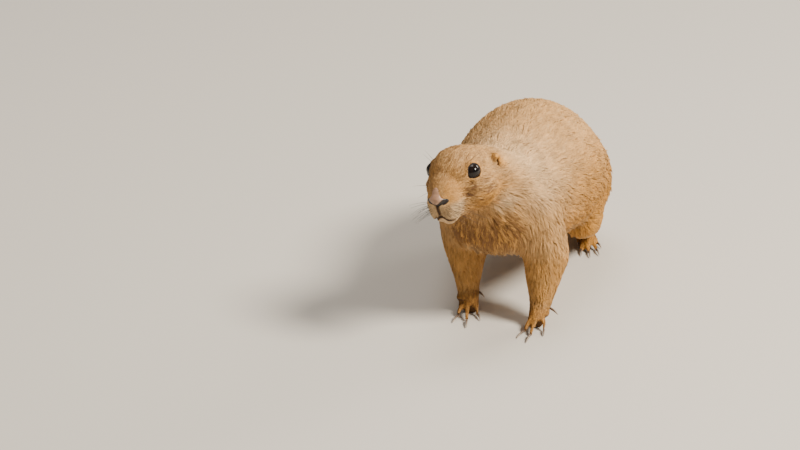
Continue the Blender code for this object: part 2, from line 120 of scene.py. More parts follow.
def write_points(mesh, points):
    mesh.vertices.foreach_set("co", (points * MM).astype(np.float32).ravel())
    mesh.update()


def read_normals(mesh):
    return read_values(mesh.vertex_normals, "vector", 3, np.float32).astype(np.float64)


def edge_pairs(mesh):
    return read_values(mesh.edges, "vertices", 2, np.int64)


def search_tree(places, corners):
    """Triangles as a tree that finds the nearest place on them."""
    return BVHTree.FromPolygons(places.tolist(), corners.tolist())


print("the head node has", len(read_points(NODES["head"].data)), "points")

# %% Soft steps and bumps
def unit(vectors):
    """The same directions, each with length 1."""
    size = np.linalg.norm(vectors, axis=-1, keepdims=True)
    return vectors / np.maximum(size, 1e-9)


def smoothstep(low, high, value):
    """0 at low, 1 at high, level beyond them, and an even S-curve between them."""
    t = np.clip((value - low) / (high - low), 0.0, 1.0)
    return t * t * (3 - 2 * t)


def bump_at(value, middle, width):
    """A soft bump, 1 at the middle and near 0 two widths away."""
    return np.exp(-(((value - middle) / width) ** 2))


print("a soft step from 0 to 4:", smoothstep(0, 4, np.arange(5)).round(2))

# %% [markdown]
# ## Camera, floor and light
# The view is from the animal's left front and a little above it, through a long lens, so
# the body is hardly foreshortened. A soft key light stands high at the camera's right, where
# the eye's highlight comes from, and the pale floor throws some light back.

# %% Camera
VIEW_TURN = math.radians(16.0)
VIEW_HEIGHT = math.radians(22.0)
VIEW_DISTANCE = 3.0
VIEW_LENS = 182.25
VIEW_AIM = Vector((-0.0859, -0.0495, 0.0415))


def facing(direction):
    """The turn that points a camera or a light along a direction."""
    return direction.to_track_quat("-Z", "Y").to_euler()


toward_camera = Vector((
    math.sin(VIEW_TURN) * math.cos(VIEW_HEIGHT),
    -math.cos(VIEW_TURN) * math.cos(VIEW_HEIGHT),
    math.sin(VIEW_HEIGHT),
))
pick(NODES["trunk"])
bpy.ops.object.camera_add(location=VIEW_AIM + toward_camera * VIEW_DISTANCE)
camera = bpy.context.object
camera.name = "view"
camera.rotation_euler = facing(-toward_camera)
camera.data.lens = VIEW_LENS
camera.data.sensor_width = 36.0
bpy.context.scene.camera = camera
print("camera stands", round(camera.location.z, 2), "m above the floor")

# %% Floor and lights
FLOOR_COLOUR = (0.60, 0.565, 0.51, 1)
LIT_PLACE = Vector((0, -0.05, 0.08))

pick(NODES["trunk"])
bpy.ops.mesh.primitive_plane_add(size=8.0)
floor = bpy.context.object
floor.name = "studio_floor"
floor_paint = bpy.data.materials.new("studio_floor")
floor_paint.use_nodes = True
shader = floor_paint.node_tree.nodes["Principled BSDF"]
shader.inputs["Base Color"].default_value = FLOOR_COLOUR
shader.inputs["Roughness"].default_value = 0.9
floor.data.materials.append(floor_paint)


def studio_light(name, place, size, power, colour):
    """A round soft light that looks at the animal's chest."""
    bpy.ops.object.light_add(type="AREA", location=place)
    light = bpy.context.object
    light.name = name
    light.data.shape = "DISK"
    light.data.size = size
    light.data.energy = power
    light.data.color = colour
    light.rotation_euler = facing(LIT_PLACE - light.location)


studio_light("key", (1.50, -0.42, 1.70), 0.7, 104.0, (1.0, 0.92, 0.80))
studio_light("top", (-0.35, 0.35, 2.2), 1.4, 26.0, (1.0, 0.95, 0.88))
studio_light("rim", (0.9, 1.4, 0.9), 0.7, 12.0, (1.0, 0.90, 0.76))
world = bpy.context.scene.world or bpy.data.worlds.new("studio")
bpy.context.scene.world = world
world.use_nodes = True
world.node_tree.nodes["Background"].inputs["Color"].default_value = (1.0, 0.95, 0.90, 1)
world.node_tree.nodes["Background"].inputs["Strength"].default_value = 0.26
print("studio lights:", len(bpy.data.lights))

# %% [markdown]
# ## The head's own frame
# The head is turned, nodded and rolled against the body. All that belongs to the face is
# worked out in the head's frame: X to its left, -Y out along the muzzle, Z up through the
# crown. The eyes, which are whole balls in the CAD, give its place.

# %% Head frame
HEAD_TURN = math.radians(-14.0)
HEAD_NOD = math.radians(2.0)
HEAD_ROLL = math.radians(-9.0)
EYE_SIDE, EYE_BACK, EYE_UP = 15.1, 1.0, -0.5
EYE_RADIUS = 6.0
SIGNS = {"left": 1, "right": -1}


def node_middle(name):
    """The middle of a node's box, in millimetres."""
    low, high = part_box(name)
    return np.array([(a + b) / 2 / MM for a, b in zip(low, high)])


head_turn = (
    Matrix.Rotation(HEAD_TURN, 3, "Z")
    @ Matrix.Rotation(HEAD_NOD, 3, "X")
    @ Matrix.Rotation(HEAD_ROLL, 3, "Y")
)
HEAD_AXES = np.array(head_turn)
between_eyes = (node_middle("eye_left") + node_middle("eye_right")) / 2
HEAD_PLACE = between_eyes - HEAD_AXES @ np.array((0.0, EYE_BACK, EYE_UP))
print("head frame stands at", HEAD_PLACE.round(1))


def to_head(points):
    """Body points in the head's frame."""
    return (points - HEAD_PLACE) @ HEAD_AXES


def from_head(points):
    return np.asarray(points, float) @ HEAD_AXES.T + HEAD_PLACE


def folded(points_in_head):
    """Head points with the right side's laid over the left's."""
    return np.abs(points_in_head * (1, 0, 0)) + points_in_head * (0, 1, 1)


# %% [markdown]
# ## One skin
# The CAD parts the body into named solids with thin gaps. The skin is the opposite: one
# closed surface with no seam. Copies of the solids are swollen just enough to touch, pressed
# together by a voxel remesh and smoothed, most of all on the trunk, where the facets are
# largest. Toes and face keep more of their shape.

# %% Values for each node
FLESH = ["head", "neck", "trunk", "tail", "tail_tip"]
for limb in ("ear", "upper_arm", "forearm", "forepaw", "thigh", "shank", "hind_foot"):
    FLESH += [f"{limb}_{side}" for side in SIGNS]
SWELL = 0.45
PAW_SWELL = 0.15


def for_node(name, table, fallback=None):
    """The table's value for the first key that starts a node's name."""
    return next((value for start, value in table.items() if name.startswith(start)), fallback)


def by_node(indices, table, fallback):
    """A number for each point, looked up by the node it belongs to."""
    return np.array([for_node(name, table, fallback) for name in FLESH], float)[indices]


print(len(FLESH), "nodes of flesh")

# %% Join copies of the flesh
SKIN_VOXEL = 0.75


def merged(mesh):
    """A bmesh of a CAD node's loose triangles, joined."""
    bm = bmesh.new()
    bm.from_mesh(mesh)
    bmesh.ops.remove_doubles(bm, verts=bm.verts, dist=1e-6)
    return bm


def finish_bmesh(bm, mesh):
    bm.to_mesh(mesh)
    bm.free()


def flesh_copy(name):
    """A merged, slightly swollen copy of a CAD node. Paws swell least, to keep the toes apart."""
    swell = for_node(name, {"forepaw": PAW_SWELL, "hind_foot": PAW_SWELL}, SWELL)
    bm = merged(NODES[name].data)
    bmesh.ops.recalc_face_normals(bm, faces=bm.faces)
    bm.normal_update()
    for v in bm.verts:
        v.co += v.normal * swell * MM
    mesh = bpy.data.meshes.new(name + "_flesh")
    finish_bmesh(bm, mesh)
    return new_object(name + "_flesh", mesh)


copies = [flesh_copy(name) for name in FLESH]
near_faces = []
near_points = []
node_of_face = []
for index, obj in enumerate(copies):
    first = len(near_points)
    near_points += [v.co / MM for v in obj.data.vertices]
    near_faces += [[first + i for i in p.vertices] for p in obj.data.polygons]
    node_of_face += [index] * len(obj.data.polygons)
flesh_tree = BVHTree.FromPolygons(near_points, near_faces)
pick(*copies)
bpy.ops.object.join()
skin = bpy.context.object
skin.name = "skin"
apply_modifier(skin, "REMESH", mode="VOXEL", voxel_size=SKIN_VOXEL * MM)
print("skin after the remesh:", len(skin.data.polygons), "faces")

# %% Which part each point of the skin belongs to
def nearest_nodes(points):
    """For each point, the index in FLESH of the nearest solid."""
    found = [flesh_tree.find_nearest(Vector(p))[2] for p in points]
    return np.array(node_of_face)[found]


def spread(values, pairs, rounds, rate=0.8):
    """Values blurred along the surface by averaging each point with its neighbours."""
    values = np.asarray(values, float)
    flat = values.reshape(len(values), -1)
    a, b = pairs[:, 0], pairs[:, 1]
    count = np.bincount(a, minlength=len(flat)) + np.bincount(b, minlength=len(flat))
    for _ in range(rounds):
        total = np.stack([
            np.bincount(a, column[b], len(flat)) + np.bincount(b, column[a], len(flat))
            for column in flat.T
        ], axis=1)
        flat = flat * (1 - rate) + rate * total / count[:, None]
    return flat.reshape(values.shape)


print("the joined skin has", len(skin.data.vertices), "points")

# %% Smooth the facets away
SMOOTHING = {
    "trunk": 60, "neck": 40, "thigh": 40, "upper_arm": 30, "forearm": 16, "tail": 20, "shank": 20,
}
LEAST_SMOOTHING = 3

points = read_points(skin.data)
part = nearest_nodes(points)
pairs = edge_pairs(skin.data)
rounds = max(SMOOTHING.values())
softness = spread(by_node(part, SMOOTHING, LEAST_SMOOTHING) / rounds, pairs, 8)[:, None]
for _ in range(rounds):
    points += (spread(points, pairs, 1, 0.55) - points) * softness
write_points(skin.data, points)
print("smoothed", len(points), "points")

# %% Coarser mesh on the trunk
COARSE_FACES = 52000
FINE_MIDDLE, FINE_REACH, FINE_BACK = (0, -6, -12), 31, 9
EAR_PLACE = np.array((21.7, 25.8, -2.7))
EAR_REACH = 8


def distance_to(places, middle):
    return np.linalg.norm(places - middle, axis=1)


coarse = skin.vertex_groups.new(name="coarse")
in_head = to_head(points)
fine = (distance_to(in_head, FINE_MIDDLE) < FINE_REACH) & (in_head[:, 1] < FINE_BACK)
fine |= distance_to(in_head, EAR_PLACE) < EAR_REACH
fine |= by_node(part, {"forepaw": 1.0, "hind_foot": 1.0}, 0.0) > 0.5
coarse.add([int(i) for i in np.nonzero(~fine)[0]], 1.0, "REPLACE")
kept = 2 * fine.sum() + COARSE_FACES
apply_modifier(
    skin, "DECIMATE", ratio=float(kept / (2 * len(points))), vertex_group="coarse",
    use_collapse_triangulate=True,
)
print("the coarser skin has", len(skin.data.polygons), "faces")

# %% Finer mesh on the face
FACE_BACK, FACE_HALF_WIDTH, FACE_LOW = -4.0, 22, -36
FACE_MIDDLE, FACE_REACH = (0, 0, -10), 36
EYE_FIELD = 10.5


def eye_middle(sign):
    """The middle of an eyeball in the head's frame."""
    return np.array((EYE_SIDE * sign, EYE_BACK, EYE_UP))


def eye_distance(points_in_head):
    """Distance to the nearer eyeball's middle."""
    return np.minimum(*[distance_to(points_in_head, eye_middle(sign)) for sign in (1, -1)])


bm = bmesh.new()
bm.from_mesh(skin.data)
middles = to_head(np.array([f.calc_center_median() for f in bm.faces]) / MM)
on_face = (middles[:, 1] < FACE_BACK) & (middles[:, 2] > FACE_LOW)
on_face &= np.abs(middles[:, 0]) < FACE_HALF_WIDTH
on_face |= eye_distance(middles) < EYE_FIELD
on_face &= distance_to(middles, FACE_MIDDLE) < FACE_REACH
edges = {e for f, chosen in zip(bm.faces, on_face) if chosen for e in f.edges}
bmesh.ops.subdivide_edges(bm, edges=list(edges), cuts=1, use_grid_fill=True, smooth=0.4)
bmesh.ops.triangulate(bm, faces=bm.faces)
finish_bmesh(bm, skin.data)
print("skin is now", len(skin.data.polygons), "triangles")

# %% [markdown]
# ## How deep the coat is
# The solids give the outline out to the tips of the fur. So the skin is drawn in under
# them by the depth of the coat: most on the back and rump, hardly at all on the muzzle and
# the toes, and nothing on the soles, which stand on the floor.

# %% Coat depth and the draw in
DEPTH = {
    "tail_tip": 3.0, "tail": 3.0, "trunk": 4.0, "neck": 3.2, "thigh": 3.6, "shank": 2.4,
    "upper_arm": 2.4, "forearm": 1.5, "forepaw": 0.35, "hind_foot": 0.35, "ear": 0.3, "head": 1.6,
}
OTHER_DEPTH = 2.0
BALD_DEPTH = 0.45
CHEEK_DEPTH = 0.9
SOLE_HEIGHT = 2.0

points = read_points(skin.data)
part = nearest_nodes(points)
pairs = edge_pairs(skin.data)
triangles = read_values(skin.data.polygons, "vertices", 3, np.int64)
in_head = to_head(points)
head_x, head_y, head_z = in_head.T
near_eye = eye_distance(in_head)
head_share = spread(by_node(part, {"head": 1.0}, 0.0), pairs, 10)
muzzle = smoothstep(-8, -17, head_y) * head_share
eye_field = (1 - smoothstep(6.5, 10.0, near_eye)) * head_share
bald = np.maximum(muzzle, eye_field)
cheek = smoothstep(-8, -14, head_z) * smoothstep(9, 14, np.abs(head_x))
cheek *= smoothstep(-12, -2, head_y) * head_share

depth = spread(by_node(part, DEPTH, OTHER_DEPTH), pairs, 30)
depth = depth * (1 - bald) + BALD_DEPTH * bald + CHEEK_DEPTH * cheek
sole = (points[:, 2] < SOLE_HEIGHT) & (read_normals(skin.data)[:, 2] < -0.6)
depth *= 1 - spread(sole.astype(float), pairs, 2)
points -= read_normals(skin.data) * (depth + SWELL * 0.5)[:, None]
points[:, 2] = np.maximum(points[:, 2], 0.0)
write_points(skin.data, points)
print("coat depth from", depth.min().round(2), "to", depth.max().round(2), "mm")

# %% [markdown]
# ## The face
# The eyes' openings, the cleft lip, the line of the mouth, the folds of the cheek and the
# slit of the ear are pressed into the skin by formula. Each is a line or a ring in the head's
# frame, made once for both sides, and most of them later darken the skin as well, as painted
# shade in the line or the slit.

# %% Lines on the face
CLEFT = [(0.0, -29.5, -17.8), (0.0, -28.5, -21.0), (0.0, -26.5, -27.3)]
MOUTH = [(0.0, -26.5, -27.3), (3.0, -25.5, -28.4), (6.0, -23.5, -30.1), (9.0, -20.5, -32.0)]
UNDER_EYE = [(18.5, -8.5, -6.0), (20.5, -3.0, -8.6), (22.0, 4.0, -8.4), (22.5, 10.0, -5.2)]
CHEEK_FOLD = [(15.0, -12.0, -13.5), (19.0, -4.0, -15.5), (23.0, 4.0, -14.5)]
FAR_AWAY = 1e9


def laid_on(tree, line, steps=6):
    """A line of head points, cut finer and laid on the nearest surface."""
    line = np.array(line)
    found = []
    for start, end in zip(line, line[1:]):
        for t in np.arange(steps) / steps:
            found.append(start + (end - start) * t)
    found.append(line[-1])
    return np.array([tree.find_nearest(Vector(p))[0] for p in found])


def along_line(places, line):
    """Distance to a run of straight pieces, and the share of it gone by at the nearest point."""
    best = np.full(len(places), FAR_AWAY)
    share = np.zeros(len(places))
    for index, (start, end) in enumerate(zip(line, line[1:])):
        piece = end - start
        t = np.clip((places - start) @ piece / max(piece @ piece, 1e-9), 0, 1)
        away = distance_to(places, start + piece * t[:, None])
        share = np.where(away < best, (index + t) / (len(line) - 1), share)
        best = np.minimum(best, away)
    return best, share


def line_distance(points_in_head, line):
    """Distance to a line of the face, which counts for both sides."""
    return along_line(folded(points_in_head), line)[0]


print("the mouth's line starts from", len(MOUTH), "points")

# %% The eye's opening
EYE_LOOK = {sign: unit(np.array((0.85 * sign, -0.47, 0.24))) for sign in (1, -1)}
FRONT_CORNER = np.array((0.0, -1.0, -0.50))


def eye_axes(sign):
    """From the eye: its line of sight, the way to its front corner, and upwards."""
    look = EYE_LOOK[sign]
    forward = unit(FRONT_CORNER - look * (FRONT_CORNER @ look))
    upward = np.cross(look, forward)
    return look, forward, upward if upward[2] > 0 else -upward


def opening(turn):
    """Half the eye's opening in radians, at a turn about the line of sight. 0 is the front."""
    front = 15.0 * np.exp(-((turn / 0.36) ** 2))
    behind = 3.0 * np.exp(-(((np.abs(turn) - math.pi) / 0.5) ** 2))
    under = 22.5 * np.exp(-(((turn + 1.40) / 0.90) ** 2))
    return np.radians(50.5 + front + behind - under + 2.0 * np.sin(turn))


def seen_from_eye(points_in_head, sign):
    """Each point's direction and distance from an eye, and its angle past the opening's edge."""
    look, forward, upward = eye_axes(sign)
    ray = points_in_head - eye_middle(sign)
    distance = np.linalg.norm(ray, axis=1)
    way = ray / np.maximum(distance, 1e-6)[:, None]
    turn = np.arctan2(way @ upward, way @ forward)
    return way, distance, np.arccos(np.clip(way @ look, -1, 1)) - opening(turn)


def past_lid(points_in_head):
    """The angle past the edge of the nearer eye's opening, and a large number away from it."""
    nearest = np.full(len(points_in_head), 9.0)
    for sign in (1, -1):
        _, distance, past = seen_from_eye(points_in_head, sign)
        nearest = np.where(distance < EYE_FIELD, np.minimum(nearest, past), nearest)
    return nearest


print("the eye opens", round(math.degrees(opening(0.0))), "degrees forward of its axis")

# %% Narrow the chin and lay the lines on it
CHIN_DROP = 3.4
CHIN_TAPER = 0.26

in_head = to_head(points)
chin = smoothstep(-16, -24, in_head[:, 2]) * smoothstep(-5, -15, in_head[:, 1])
in_head[:, 2] -= CHIN_DROP * chin * head_share
in_head[:, 0] *= 1 - CHIN_TAPER * chin * head_share
write_points(skin.data, from_head(in_head))
head_tree = search_tree(in_head, triangles)
CLEFT, MOUTH, UNDER_EYE, CHEEK_FOLD = [
    laid_on(head_tree, line) for line in (CLEFT, MOUTH, UNDER_EYE, CHEEK_FOLD)
]
print("the mouth's line has", len(MOUTH), "points")

# %% Press the lines into the skin
def crease(points_in_head, line, width, deep):
    """How far a crease presses the skin in at each point."""
    return deep * bump_at(line_distance(points_in_head, line), 0.0, width)


def ear_parts(points_in_head):
    """The slit of the ear, and the raised rim behind and over it, as two masks."""
    away = folded(points_in_head) - EAR_PLACE
    beside = np.where(away[:, 0] > -4.5, 1.0, 0.0)
    slit = bump_at(np.hypot(away[:, 1] / 1.5, away[:, 2] / 2.7), 0.0, 1.0) * beside
    ring = np.hypot((away[:, 1] - 0.6) / 0.9, (away[:, 2] - 0.2) / 1.25)
    behind = smoothstep(-2.0, 1.5, away[:, 1] + 0.5 * away[:, 2])
    return slit, bump_at(ring, 3.4, 1.7) * behind * beside


normals = read_normals(skin.data) @ HEAD_AXES
pressed = crease(in_head, CLEFT, 0.8, 1.3) + crease(in_head, MOUTH, 0.9, 1.6)
pressed += crease(in_head, UNDER_EYE, 1.6, 0.7) + crease(in_head, CHEEK_FOLD, 2.2, 0.5)
ear_slit, ear_rim = ear_parts(in_head)
pressed += 2.4 * ear_slit - 0.8 * ear_rim
in_head -= normals * (pressed * smoothstep(0.05, 0.4, head_share + ear_slit + ear_rim))[:, None]
print("deepest crease", pressed.max().round(1), "mm")

# %% Open the skin round the eyes
RIM_HEIGHT = EYE_RADIUS + 0.15
CAP_HEIGHT = EYE_RADIUS + 0.75
SUNK = EYE_RADIUS - 1.6

for sign in (1, -1):
    way, distance, past = seen_from_eye(in_head, sign)
    rim = RIM_HEIGHT + 0.45 * bump_at(past, 0.16, 0.12)
    cap = CAP_HEIGHT + 7.0 * np.maximum(past, 0.0) ** 1.5 + 9.0 * smoothstep(8.5, 10.5, distance)
    wanted = SUNK + (np.minimum(np.maximum(distance, rim), cap) - SUNK) * smoothstep(0.0, 0.12, past)
    distance = np.where(distance < EYE_FIELD, wanted, distance)
    in_head = eye_middle(sign) + way * distance[:, None]
points = from_head(in_head)
write_points(skin.data, points)
pick(skin)
bpy.ops.object.shade_smooth()
print("face lines pressed in")

# %% [markdown]
# ## Eyes
# A prairie dog's eye is large, dark and round: a whole ball under two thin dark lids. Each
# ball is a sphere with its poles on the line of sight, drawn out a little at the front as
# the cornea is. The iris is dark brown and only a shade lighter than the pupil.

# %% Paint helpers
def feed(value, socket):
    """Wires an output into a socket, or sets the socket's own constant."""
    if isinstance(value, bpy.types.NodeSocket):
        socket.id_data.links.new(value, socket)
    else:
        socket.default_value = (*value, 1) if isinstance(value, tuple) else value


def node(owner, kind, inputs=None, **settings):
    """Adds a shader node to a material or a group, and feeds its inputs."""
    made = getattr(owner, "node_tree", owner).nodes.new("ShaderNode" + kind)
    for name, value in settings.items():
        setattr(made, name, value)
    for name, value in (inputs or {}).items():
        feed(value, made.inputs[name])
    return made


def shader_of(material):
    return material.node_tree.nodes["Principled BSDF"]


def paint(name, colour, roughness, **sockets):
    """A Principled material. Other sockets are set by name, with _ for a space."""
    material = bpy.data.materials.new(name)
    material.use_nodes = True
    shader = shader_of(material)
    feed(colour, shader.inputs["Base Color"])
    shader.inputs["Roughness"].default_value = roughness
    for socket, value in sockets.items():
        shader.inputs[socket.replace("_", " ")].default_value = value
    return material


def ramp(material, factor, stops):
    """The colour that a ramp through (position, colour) stops gives for a factor."""
    made = node(material, "ValToRGB", {"Fac": factor})
    elements = made.color_ramp.elements
    while len(elements) < len(stops):
        elements.new(0.5)
    for element, (position, colour) in zip(elements, stops):
        element.position = position
        element.color = (*colour, 1)
    return made.outputs["Color"]


def mix(owner, factor, a, b, blend="MIX"):
    """Two colours mixed or multiplied."""
    made = node(owner, "Mix", data_type="RGBA", blend_type=blend)
    for name, value in (("Factor", factor), ("A", a), ("B", b)):
        feed(value, made.inputs[name])
    return made.outputs["Result"]


def attribute_of(owner, name):
    return node(owner, "Attribute", attribute_name=name)


def place_of(material):
    """Object coordinates, which pieces at the origin share with the body."""
    return node(material, "TexCoord").outputs["Object"]


def noise(material, scale):
    return node(material, "TexNoise", {"Vector": place_of(material), "Scale": scale}).outputs["Fac"]


def bumped(material, height, strength, distance):
    """Gives a material fine relief."""
    made = node(material, "Bump", {"Height": height, "Strength": strength, "Distance": distance})
    feed(made.outputs["Normal"], shader_of(material).inputs["Normal"])


print("materials so far:", len(bpy.data.materials))

# %% Materials from a ramp
def add_attribute(mesh, name, values):
    """A point attribute: one number for each point, or four as a colour."""
    values = np.asarray(values, np.float32)
    kind, key = ("FLOAT", "value") if values.ndim == 1 else ("FLOAT_COLOR", "color")
    mesh.attributes.new(name, kind, "POINT").data.foreach_set(key, values.ravel())


def graded(material, attribute, scale, play, stops):
    """Colours a material by a point attribute through a ramp, with a little noise in it."""
    factor = node(material, "Math", {
        0: noise(material, scale), 1: play, 2: attribute_of(material, attribute).outputs["Fac"],
    }, operation="MULTIPLY_ADD").outputs[0]
    feed(ramp(material, factor, stops), shader_of(material).inputs["Base Color"])


def mottled(name, dark_tone, light_tone, scale, roughness, **sockets):
    """A material whose colour wanders between two tones."""
    material = paint(name, dark_tone, roughness, **sockets)
    tones = ramp(material, noise(material, scale), [(0.3, dark_tone), (0.7, light_tone)])
    feed(tones, shader_of(material).inputs["Base Color"])
    return material


print("attributes of the skin so far:", len(skin.data.attributes))

# %% Eyeballs
PUPIL_EDGE, IRIS_EDGE = 0.42, 0.80
PUPIL_COLOUR = (0.004, 0.003, 0.003)
CORNEA_HEIGHT = 0.35

eye_paint = paint("eye_wet_dark", (0.01, 0.006, 0.004), 0.04, IOR=1.4)
graded(eye_paint, "from_axis", 2500.0, 0.10, [
    (0.0, PUPIL_COLOUR),
    (PUPIL_EDGE, PUPIL_COLOUR),
    (PUPIL_EDGE + 0.06, (0.011, 0.006, 0.004)),
    (IRIS_EDGE, (0.007, 0.004, 0.003)),
    (IRIS_EDGE + 0.08, PUPIL_COLOUR),
])


def make_eye(side):
    """A ball whose poles lie on the line of sight, with a low cornea."""
    sign = SIGNS[side]
    pick(skin)
    bpy.ops.mesh.primitive_uv_sphere_add(segments=64, ring_count=48, radius=EYE_RADIUS * MM)
    eye = bpy.context.object
    eye.name = f"eyeball_{side}"
    local = read_points(eye.data)
    from_axis = np.hypot(local[:, 0], local[:, 1]) / EYE_RADIUS
    from_axis = np.where(local[:, 2] > 0, from_axis, 1.0)
    local[:, 2] += CORNEA_HEIGHT * (1 - smoothstep(0.0, 0.75, from_axis))
    look = Vector(HEAD_AXES @ EYE_LOOK[sign])
    turned = local @ np.array(look.to_track_quat("Z", "Y").to_matrix()).T
    write_points(eye.data, turned + from_head(eye_middle(sign)))
    add_attribute(eye.data, "from_axis", from_axis)
    bpy.ops.object.shade_smooth()
    eye.data.materials.append(eye_paint)
    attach(eye, "root")
    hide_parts(f"eye_{side}")
    return eye


eyes = [make_eye(side) for side in SIGNS]
print("two eyeballs,", len(eyes[0].data.polygons), "faces each")

# %% [markdown]
# The lids are a thin dark rim round the opening, thicker above, drawn out to a small point
# at the front corner. One ring of edges is swept round the ball: its section is a small
# rounded lip that starts under the skin and ends on the wet eye.

# %% Sweeping rings of points
def ring_faces(first, steps, sides, closed=False):
    """Faces between rings of points that follow one another from a first index."""
    faces = []
    for step in range(steps if closed else steps - 1):
        here = first + step * sides
        there = first + (step + 1) % steps * sides
        for k in range(sides):
            after = (k + 1) % sides
            faces.append((here + k, here + after, there + after, there + k))
    return faces


def swept(name, vertices, faces):
    """An object of points in millimetres, with its faces turned outwards."""
    mesh = bpy.data.meshes.new(name)
    mesh.from_pydata([tuple(v * MM) for v in vertices], [], faces)
    bm = bmesh.new()
    bm.from_mesh(mesh)
    bmesh.ops.recalc_face_normals(bm, faces=bm.faces)
    finish_bmesh(bm, mesh)
    return new_object(name, mesh)


print("a tube of 3 rings of 4 points has", len(ring_faces(0, 3, 4)), "faces")

# %% Eyelids
LID_STEPS = 72
LID_SECTION = [
    (7.0, 5.2), (-2.4, 5.3), (-1.2, 6.02), (0.4, 6.28), (2.4, 6.42), (5.0, 6.50), (9.0, 6.46),
    (13.0, 6.20), (16.0, 5.8),
]
LID_OUTSIDE = 6.1
UPPER_LID = 0.12
lid_paint = mottled(
    "eyelid_dark_skin", (0.013, 0.008, 0.006), (0.019, 0.012, 0.010), 1500.0, 0.6,
    Specular_IOR_Level=0.25,
)


def make_lids(side):
    """Both lids of an eye. A section's point is an angle past the opening and a radius."""
    sign = SIGNS[side]
    look, forward, upward = eye_axes(sign)
    vertices = []
    for k in range(LID_STEPS):
        turn = math.tau * k / LID_STEPS - math.pi
        outward = forward * math.cos(turn) + upward * math.sin(turn)
        heavy = UPPER_LID * max(0.0, math.sin(turn))
        for off, radius in LID_SECTION:
            angle = float(opening(turn)) + math.radians(off)
            place = look * math.cos(angle) + outward * math.sin(angle)
            raised = radius + (heavy if radius > LID_OUTSIDE else 0.0)
            vertices.append(from_head(eye_middle(sign) + place * raised))
    faces = ring_faces(0, LID_STEPS, len(LID_SECTION), closed=True)
    lids = swept(f"eyelids_{side}", vertices, faces)
    apply_modifier(lids, "SUBSURF", levels=1, render_levels=1)
    bpy.ops.object.shade_smooth()
    lids.data.materials.append(lid_paint)
    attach(lids, "root")
    return lids


lids = [make_lids(side) for side in SIGNS]
print("eyelids have", len(lids[0].data.polygons), "faces each")

# %% [markdown]
# ## Nose
# The tip of the nose is bare, pinkish brown and finely grained. Its lower edge is a shallow
# V, and the nostrils are two dark commas that open under that edge and rise at the sides.
# The nostrils and the pad's underside under that edge are painted near black, as painted
# shade in the openings and under the pad's overhang.

# %% The nose's outline
NOSE_HEIGHTS = (-18.0, -16.9, -15.3, -13.6, -12.2, -11.0, -9.8, -8.0, -6.0, -4.4, -3.6)
NOSE_HALF_WIDTHS = (0.0, 3.6, 7.2, 9.0, 7.8, 4.8, 3.6, 3.2, 2.9, 2.0, 0.0)
NOSE_FRONTS = (-27.0, -29.2, -30.1, -30.1, -30.0, -29.8, -29.0, -27.6, -25.9, -25.0, -24.6)
NOSTRIL = np.array([(1.0, -16.6), (3.4, -15.5), (5.8, -14.1), (7.6, -12.9)])
LOWER_EDGE = ((0, 3.4, 7.6), (-16.7, -15.4, -13.6))
PROUD_OF_SKIN = 0.5
BEFORE_FACE = -60


def skin_front(height):
    """The skin's place in front of the face at a height, on the middle line."""
    return muzzle_tree.ray_cast(Vector((0, BEFORE_FACE, height)), Vector((0, 1, 0)))[0].y


muzzle_tree = search_tree(to_head(read_points(skin.data)), triangles)
NOSE_FRONTS = [
    min(front, skin_front(z) - PROUD_OF_SKIN) for z, front in zip(NOSE_HEIGHTS, NOSE_FRONTS)
]
print("nose pad stands out to", np.round(NOSE_FRONTS, 1))


# %% Nose pad
def make_nose():
    """A ball whose rings take the outline's widths, pressed in at nostrils and cleft."""
    pick(skin)
    bpy.ops.mesh.primitive_uv_sphere_add(segments=112, ring_count=96, radius=MM)
    nose = bpy.context.object
    nose.name = "nose_pad"
    ball = read_points(nose.data)
    ring = np.maximum(np.hypot(ball[:, 0], ball[:, 1]), 1e-6)
    ball_x, ball_y = ball[:, 0] / ring, ball[:, 1] / ring
    level = (ball[:, 2] + 1) / 2
    z = NOSE_HEIGHTS[0] + (NOSE_HEIGHTS[-1] - NOSE_HEIGHTS[0]) * level
    half_width = np.interp(z, NOSE_HEIGHTS, NOSE_HALF_WIDTHS)
    front = np.interp(z, NOSE_HEIGHTS, NOSE_FRONTS)
    half_deep = 0.35 + 0.44 * half_width
    x = half_width * ball_x
    y = front + half_deep * (1 + ball_y) * smoothstep(0.0, 0.08, level * (1 - level) * 4)

    forward = smoothstep(0.35, -0.2, ball_y)
    away, share = along_line(np.stack([np.abs(x), z], axis=1), NOSTRIL)
    slit = bump_at(away, 0.0, 1.2 + 1.5 * share) * forward
    wing = bump_at(away, 2.1, 1.0) * smoothstep(-15.0, -12.5, z) * forward
    cleft = bump_at(x, 0.0, 0.7) * smoothstep(-11.5, -14.0, z) * forward
    y += 2.8 * slit - 0.35 * wing + 0.45 * cleft
    write_points(nose.data, from_head(np.stack([x, y, z], axis=1)))
    apply_modifier(nose, "SMOOTH", factor=0.5, iterations=2)

    # Painted shade: the underside under the lower edge and the nostrils are painted near black, for the
    # shade under the overhang and inside the openings.
    shade_under_pad = smoothstep(0.3, -0.9, z - np.interp(np.abs(x), *LOWER_EDGE))
    hole = smoothstep(1.6 + 1.5 * share, 0.9 + 1.4 * share, away)
    dark = np.clip(hole + 0.6 * cleft * smoothstep(-13.0, -14.5, z), 0, 1)
    add_attribute(nose.data, "dark", np.maximum(dark, 0.9 * shade_under_pad))
    bpy.ops.object.shade_smooth()
    return nose


print("the pad reaches from", min(NOSE_HEIGHTS), "to", max(NOSE_HEIGHTS), "mm")

